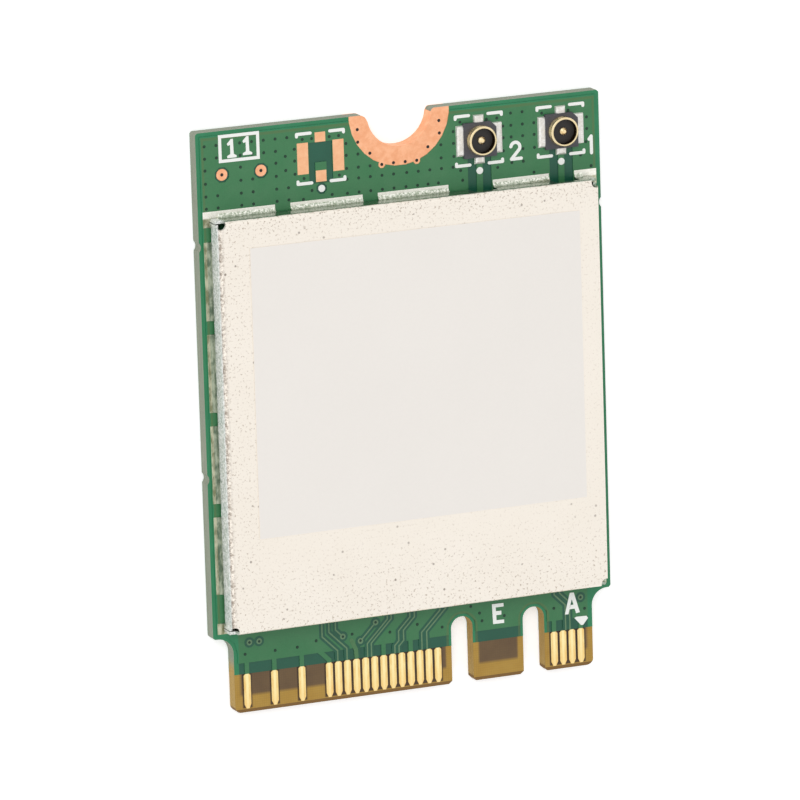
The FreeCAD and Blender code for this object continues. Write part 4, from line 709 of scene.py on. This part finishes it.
# The port numbers as lines: the bow of a 2, as arc_points takes it, its foot, and a 1.
NUMBER_LINE = 0.17
NUMBER_TWO_BOW = (6.31, 12.53, 0.25, 170, -30, 10)
NUMBER_TWO_FOOT = [(6.08, 11.93), (6.62, 11.93)]
NUMBER_ONE = ((10.40, 12.52), (10.52, 12.66), (10.52, 11.8))


def port_strokes(port):
    """Corner brackets of one port, as lines."""
    lines = []
    for side in (-1, 1):
        for end in (-1, 1):
            x, y = port.x + side * BRACKET_HALF, port.y + end * BRACKET_HALF
            lines.append(((x - side * BRACKET_ARM, y), (x, y), (x, y - end * BRACKET_STUB)))
    return lines


def make_printing():
    """The white printing of the card: brackets, dots, frame, pointer, key letters and port numbers."""
    builder = bmesh.new()
    for port in (port_1, port_2, spare_port):
        for line in port_strokes(port):
            prism(builder, stroke_outline(line, INK_LINE), mask_low_top, INK_TOP)
        prism(builder, round_outline(port.x, port.y - DOT_DROP, DOT_RADIUS), mask_low_top, INK_TOP)
    for line in (arc_points(*NUMBER_TWO_BOW) + NUMBER_TWO_FOOT, NUMBER_ONE):
        prism(builder, stroke_outline(line, NUMBER_LINE), mask_low_top, INK_TOP)
    digits = [[(x + across, y + up) for across, up in DIGIT_ONE] for x, y in FRAME_DIGITS]
    for outline in (LETTER_E, *LETTER_A, POINTER, *digits):
        prism(builder, outline, mask_low_top, INK_TOP)
    for left, low, right, high in (
            (FRAME_LEFT, FRAME_LOW, FRAME_RIGHT, FRAME_LOW + INK_LINE),
            (FRAME_LEFT, FRAME_HIGH - INK_LINE, FRAME_RIGHT, FRAME_HIGH),
            (FRAME_LEFT, FRAME_LOW + INK_LINE, FRAME_LEFT + INK_LINE, FRAME_HIGH - INK_LINE),
            (FRAME_RIGHT - INK_LINE, FRAME_LOW + INK_LINE, FRAME_RIGHT, FRAME_HIGH - INK_LINE)):
        prism(builder, ((left, low), (right, low), (right, high), (left, high)), mask_low_top, INK_TOP)
    new_piece("printing", builder, ink_paint, "ink", "silkscreen_marks")


# Covered vias: their grid, radius, height over the mask and distance from the card's side.
VIA_PITCH = 0.635
VIA_RADIUS = 0.1
VIA_RISE = 0.02
VIA_MARGIN = 0.45
# Covered vias at the screw end: drop below the screw edge, then the columns that hold one,
# counted inwards from the left border and from the right border.
VIA_ROWS = (
    (0.7, (0, 1, 3, 4, 5, 6, 7), (6, 7)),
    (0.88, (8.3, 9.1, 10.6, 11.4), (2, 4.3, 8.2, 9.1, 11.4)),
    (1.33, (0, 1, 3, 4, 5, 6, 7.6, 12), (0.4, 5, 6, 7, 7.7, 12)),
    (1.93, (0, 3, 6, 7.6, 12, 13), (0.4, 5, 6, 7, 7.7, 12, 13.1)),
    (2.6, (0, 3, 4, 6, 7.6, 12, 13, 14), (0.5, 5, 6, 7.7, 12, 13.1)),
    (3.15, (8.4, 11.4, 12, 13, 14, 15, 16), (8.2, 12.1, 13.1, 14.1, 15.1, 16.1)),
    (3.25, (0, 1, 3, 4, 6, 7), (1, 6, 7)),
    (3.87, (0, 1, 3, 4, 6, 7, 12, 13, 14, 15, 16), (0.1, 5.1, 11.3, 13.4, 14.3, 15.2, 16.2)),
)
# Vias outside those rows: place, from the middle and below the screw edge.
ODD_VIAS = ((-6.22, 1.64), (-6.22, 2.36), (-5.25, 2.87), (-3.34, 2.9), (-4.84, 3.52), (-5.32, 3.93),
            (-3.76, 3.84), (port_2.x + 1.0, card_end - port_2.y + 1.56),
            (port_2.x - 1.04, card_end - port_2.y + 1.5))
# Covered vias between the shield and the contacts: place, from the middle and from the contact edge.
TAB_VIAS = ((-9.32, 3.06), (-7.68, 3.05), (-6.47, 3.06), (-5.43, 3.26), (-3.45, 3.35), (-1.37, 3.19),
            (0.15, 3.4), (1.52, 3.08), (3.14, 3.96), (3.62, 3.55), (3.74, 3.13), (4.99, 3.24), (7.77, 3.27),
            (9.49, 3.05), (-9.07, 3.65), (-8.54, 3.64), (-3.97, 3.29), (-3.01, 2.96), (-2.15, 3.81),
            (9.27, 3.67))
DOME_SIDES = 12
DOME_TAPER = 0.7


def small_dome(builder, x, y, radius, low, high):
    """A shallow dome on the card, narrower at its flat top."""
    lower = [builder.verts.new((px, py, low)) for px, py in round_outline(x, y, radius, DOME_SIDES)]
    top = round_outline(x, y, radius * DOME_TAPER, DOME_SIDES)
    upper = [builder.verts.new((px, py, high)) for px, py in top]
    builder.faces.new(lower)
    builder.faces.new(upper)
    for i in range(DOME_SIDES):
        j = (i + 1) % DOME_SIDES
        builder.faces.new((lower[i], lower[j], upper[j], upper[i]))


def make_vias():
    """The small vias that the mask covers, as dark dots of painted shade where their holes lie under the
    mask.
    """
    builder = bmesh.new()
    spots = []
    for drop, from_left, from_right in VIA_ROWS:
        y = card_end - drop
        spots += [(-half_width + VIA_MARGIN + VIA_PITCH * column, y) for column in from_left]
        spots += [(half_width - VIA_MARGIN - VIA_PITCH * column, y) for column in from_right]
    spots += [(x, card_end - drop) for x, drop in ODD_VIAS]
    spots += [(x, height - card_end) for x, height in TAB_VIAS]
    for x, y in spots:
        small_dome(builder, x, y, VIA_RADIUS, mask_low_top, mask_top + VIA_RISE)
    new_piece("covered_vias", builder, via_shade, "solder_mask")


# Drilled holes of the bare ring: place, from the middle and below the screw edge.
RING_HOLES = ((-2.28, 0.69), (-2.28, 1.33), (-1.64, 1.96), (-1.01, 2.6), (-0.37, 2.58), (0.27, 2.59),
              (0.9, 2.59), (1.53, 1.96), (2.18, 1.32), (2.17, 0.68))
RING_HOLE_RADIUS = 0.118
PAD_HOLE_RADIUS = 0.12
HOLE_RISE = 0.004


def make_drilled_holes():
    """The drilled holes of the bare ring and of the test pads, as dark dots of painted shade."""
    hole_top = mask_top - mask_thickness + HOLE_RISE
    builder = bmesh.new()
    for x, drop in RING_HOLES:
        small_dome(builder, x, card_end - drop, RING_HOLE_RADIUS, laminate_top, hole_top)
    pads_low, pads_high = box_mm("test_pads")
    pad_radius = (pads_high.y - pads_low.y) / 2
    for x in (pads_low.x + pad_radius, pads_high.x - pad_radius):
        y = pads_low.y + pad_radius
        small_dome(builder, x, y, PAD_HOLE_RADIUS, laminate_top, pads_high.z + HOLE_RISE)
    new_piece("drilled_holes", builder, hole_shade, "laminate")


# Signal traces of the contact end, as the solids have them: contact, sidestep, then turns of rise and shift.
FAN_OUT = (
    (55, -0.03, ((0.57, -0.82),)),
    (53, -0.02, ((0.63, -0.95),)),
    (49, 0.11, ((0.72, 1.14),)),
    (47, -0.17, ((0.72, 1.14),)),
    (43, 0.12, ((0.42, 0.23), (0.52, 0.65))),
    (41, -0.15, ((0.37, 0.27), (0.53, 0.63))),
    (37, 0.12, ((0.92, 1.05),)),
    (35, -0.10, ((0.94, 1.10),)),
    (5, 0.15, ((1.35, -0.60),)),
    (3, -0.11, ((1.47, -0.54),)),
)
# Vias with a land of their own: from contact 1 to the left, and height above the contact edge.
LONE_VIAS = ((18.32, 3.65), (17.79, 3.65), (-0.02, 3.67))
TRACE_VIAS = ((13.22, 3.3), (12.26, 2.94), (11.4, 3.8))
# The trace of the first of them turns towards the shield here. All traces end a little under the shield.
VIA_LANE_OFFSET = 13.61
TRACE_END_Y = can_low.y + 0.5
TRACE_WIDTH = 0.07
LANE_WIDTH = 0.31
LAND_RADIUS = 0.15
LAND_LANE_RADIUS = 0.27
# Heights over the mask. Each line lies one step higher than the one before, so that tops that cross never
# share a plane.
LANE_RISE = 0.002
TRACE_RISE = 0.01
LAYER_STEP = 0.0004
# The wide stub of one contact, which runs up and aside into the pour: rise and shift of its points.
STUB_CONTACT = 51
STUB_WIDTH = 0.22
STUB_TURNS = ((0.0, 0.0), (0.5, -0.02), (1.0, -0.25))
STUB_LANE_SHIFT = 0.06


def trace_routes():
    """Middle lines of the traces between the mask's edge and the shield."""
    routes = []
    for contact, sidestep, turns in FAN_OUT:
        x, y = contact_x(contact) + sidestep, MASK_EDGE
        route = [(x, y)]
        for rise, shift in turns:
            route.append((x, y + rise))
            x, y = x + shift, y + rise + abs(shift)
            route.append((x, y))
        routes.append(route + [(x, TRACE_END_Y)])
    left, middle, right = [(FIRST_X - offset, height - card_end) for offset, height in TRACE_VIAS]
    lane = FIRST_X - VIA_LANE_OFFSET
    routes.append([left, (lane, left[1] + left[0] - lane), (lane, TRACE_END_Y)])
    routes.append([middle, right])
    return routes


def trimmed(route, width):
    """A route whose round end stops at the mask's edge."""
    return [(x, max(y, MASK_EDGE + width / 2)) for x, y in route]


def make_traces():
    """Dark lanes between the pours, and on them the thin traces and the lands of their vias."""
    lanes, traces = bmesh.new(), bmesh.new()
    layer = 0
    for route in trace_routes():
        rise = layer * LAYER_STEP
        lane, trace = trimmed(route, LANE_WIDTH), trimmed(route, TRACE_WIDTH)
        prism(lanes, stroke_outline(lane, LANE_WIDTH), mask_low_top, mask_top + LANE_RISE + rise)
        prism(traces, stroke_outline(trace, TRACE_WIDTH), mask_low_top, mask_top + TRACE_RISE + rise)
        layer += 1
    # The lane beside the wide stub covers the gap between it and the nearest via.
    entry = contact_x(STUB_CONTACT)
    lane_x = entry + STUB_LANE_SHIFT
    via_x, via_y = FIRST_X - TRACE_VIAS[1][0], TRACE_VIAS[1][1] - card_end
    beside = trimmed([(lane_x, MASK_EDGE), (lane_x, via_y - (via_x - entry)), (via_x, via_y)], LANE_WIDTH)
    prism(lanes, stroke_outline(beside, LANE_WIDTH), mask_low_top, mask_top + LANE_RISE + layer * LAYER_STEP)
    layer += 1
    for offset, height in LONE_VIAS + TRACE_VIAS:
        rise = layer * LAYER_STEP
        x, y = FIRST_X - offset, height - card_end
        prism(lanes, round_outline(x, y, LAND_LANE_RADIUS), mask_low_top, mask_top + LANE_RISE + rise)
        prism(traces, round_outline(x, y, LAND_RADIUS), mask_low_top, mask_top + TRACE_RISE + rise)
        layer += 1
    stub = bmesh.new()
    route = trimmed([(entry + shift, MASK_EDGE + rise) for rise, shift in STUB_TURNS], STUB_WIDTH)
    prism(stub, stroke_outline(route, STUB_WIDTH), mask_low_top, mask_top + TRACE_RISE)
    new_piece("ground_stub", stub, stub_green, "solder_mask")
    new_piece("trace_lanes", lanes, lane_green, "solder_mask")
    new_piece("trace_lines", traces, trace_green, "solder_mask")


LAND_SIDES = 40


def make_test_lands():
    """The two test pads as round lands, in the places and at the height of the solids."""
    builder = bmesh.new()
    low, high = box_mm("test_pads")
    radius = (high.y - low.y) / 2
    for x in (low.x + radius, high.x - radius):
        prism(builder, round_outline(x, low.y + radius, radius, LAND_SIDES), low.z, high.z)
    new_piece("test_lands", builder, ring_copper, "bare_copper", "test_pads")


make_printing()
make_vias()
make_traces()
make_test_lands()
make_drilled_holes()


# Floor, light and camera. Their lengths are metres.
FLOOR_HALF = 3.0
FLOOR_DROP = 0.00002
FLOOR_TONE = 0.9
FLOOR_GLOW = 0.4
WORLD_LIGHT = 0.68
PLAIN_WHITE = (1, 1, 1, 1)


def seen_share(tree, *rays):
    """1 for rays of the named kinds, which see a plain background, and 0 for all others."""
    kinds = tree.nodes.new("ShaderNodeLightPath").outputs
    share = kinds[rays[0]]
    for ray in rays[1:]:
        either = tree.nodes.new("ShaderNodeMath")
        either.operation = "MAXIMUM"
        tree.links.new(share, either.inputs[0])
        tree.links.new(kinds[ray], either.inputs[1])
        share = either.outputs[0]
    return share


def make_floor():
    """A pale matt floor just under the card, which glows for the camera and keeps the card's shadow."""
    mesh = bpy.data.meshes.new("floor")
    builder = bmesh.new()
    bmesh.ops.create_grid(builder, x_segments=1, y_segments=1, size=FLOOR_HALF)
    builder.to_mesh(mesh)
    builder.free()
    floor = bpy.data.objects.new("floor", mesh)
    floor.location.z = -FLOOR_DROP
    bpy.context.collection.objects.link(floor)
    material = bpy.data.materials.new("pale_floor")
    material.use_nodes = True
    tree = material.node_tree
    shader = tree.nodes["Principled BSDF"]
    shader.inputs["Base Color"].default_value = (FLOOR_TONE, FLOOR_TONE, FLOOR_TONE, 1)
    shader.inputs["Roughness"].default_value = 1.0
    shader.inputs["Specular IOR Level"].default_value = 0.0
    glow = tree.nodes.new("ShaderNodeMath")
    glow.operation = "MULTIPLY"
    glow.inputs[1].default_value = FLOOR_GLOW
    tree.links.new(seen_share(tree, "Is Camera Ray", "Is Glossy Ray"), glow.inputs[0])
    shader.inputs["Emission Color"].default_value = PLAIN_WHITE
    tree.links.new(glow.outputs[0], shader.inputs["Emission Strength"])
    mesh.materials.append(material)


def make_world():
    """Even studio light, seen as plain white by the camera, in reflections and through clear pieces."""
    world = bpy.data.worlds.new("studio")
    bpy.context.scene.world = world
    world.use_nodes = True
    tree = world.node_tree
    background = tree.nodes["Background"]
    level = tree.nodes.new("ShaderNodeMapRange")
    level.inputs["To Min"].default_value = WORLD_LIGHT
    level.inputs["To Max"].default_value = 1.0
    seen = seen_share(tree, "Is Camera Ray", "Is Glossy Ray", "Is Transmission Ray")
    tree.links.new(seen, level.inputs["Value"])
    tree.links.new(level.outputs[0], background.inputs["Strength"])
    background.inputs["Color"].default_value = PLAIN_WHITE


def make_lamp(name, place, size, power):
    """A square soft lamp that looks at the card's middle."""
    light = bpy.data.lights.new(name, "AREA")
    light.size = size
    light.energy = power
    lamp = bpy.data.objects.new(name, light)
    lamp.location = place
    lamp.rotation_euler = (Vector((0, 0, 0)) - Vector(place)).to_track_quat("-Z", "Y").to_euler()
    bpy.context.collection.objects.link(lamp)


make_floor()
make_world()
make_lamp("key_lamp", place=(-0.25, 0.3, 0.45), size=0.35, power=0.9)
make_lamp("fill_lamp", place=(-0.3, -0.35, 0.4), size=0.4, power=0.4)

# The camera that was fitted to the photograph: its place in millimetres and its axes.
CAMERA_PLACE = Vector((-153.390, 90.973, 367.075)) * MM
CAMERA_RIGHT = Vector((0.919664, -0.030002, 0.391558))
CAMERA_DOWN = Vector((-0.114289, -0.974366, 0.193776))
CAMERA_FORWARD = Vector((0.375707, -0.222959, -0.899518))
camera_data = bpy.data.cameras.new("camera")
camera_data.lens = 362.289
camera_data.sensor_width = 36
camera_data.clip_start = 0.01
camera = bpy.data.objects.new("camera", camera_data)
turn = Matrix((CAMERA_RIGHT, -CAMERA_DOWN, -CAMERA_FORWARD)).transposed()
camera.matrix_world = Matrix.Translation(CAMERA_PLACE) @ turn.to_4x4()
bpy.context.collection.objects.link(camera)
bpy.context.scene.camera = camera
bpy.context.scene.view_settings.view_transform = "Standard"
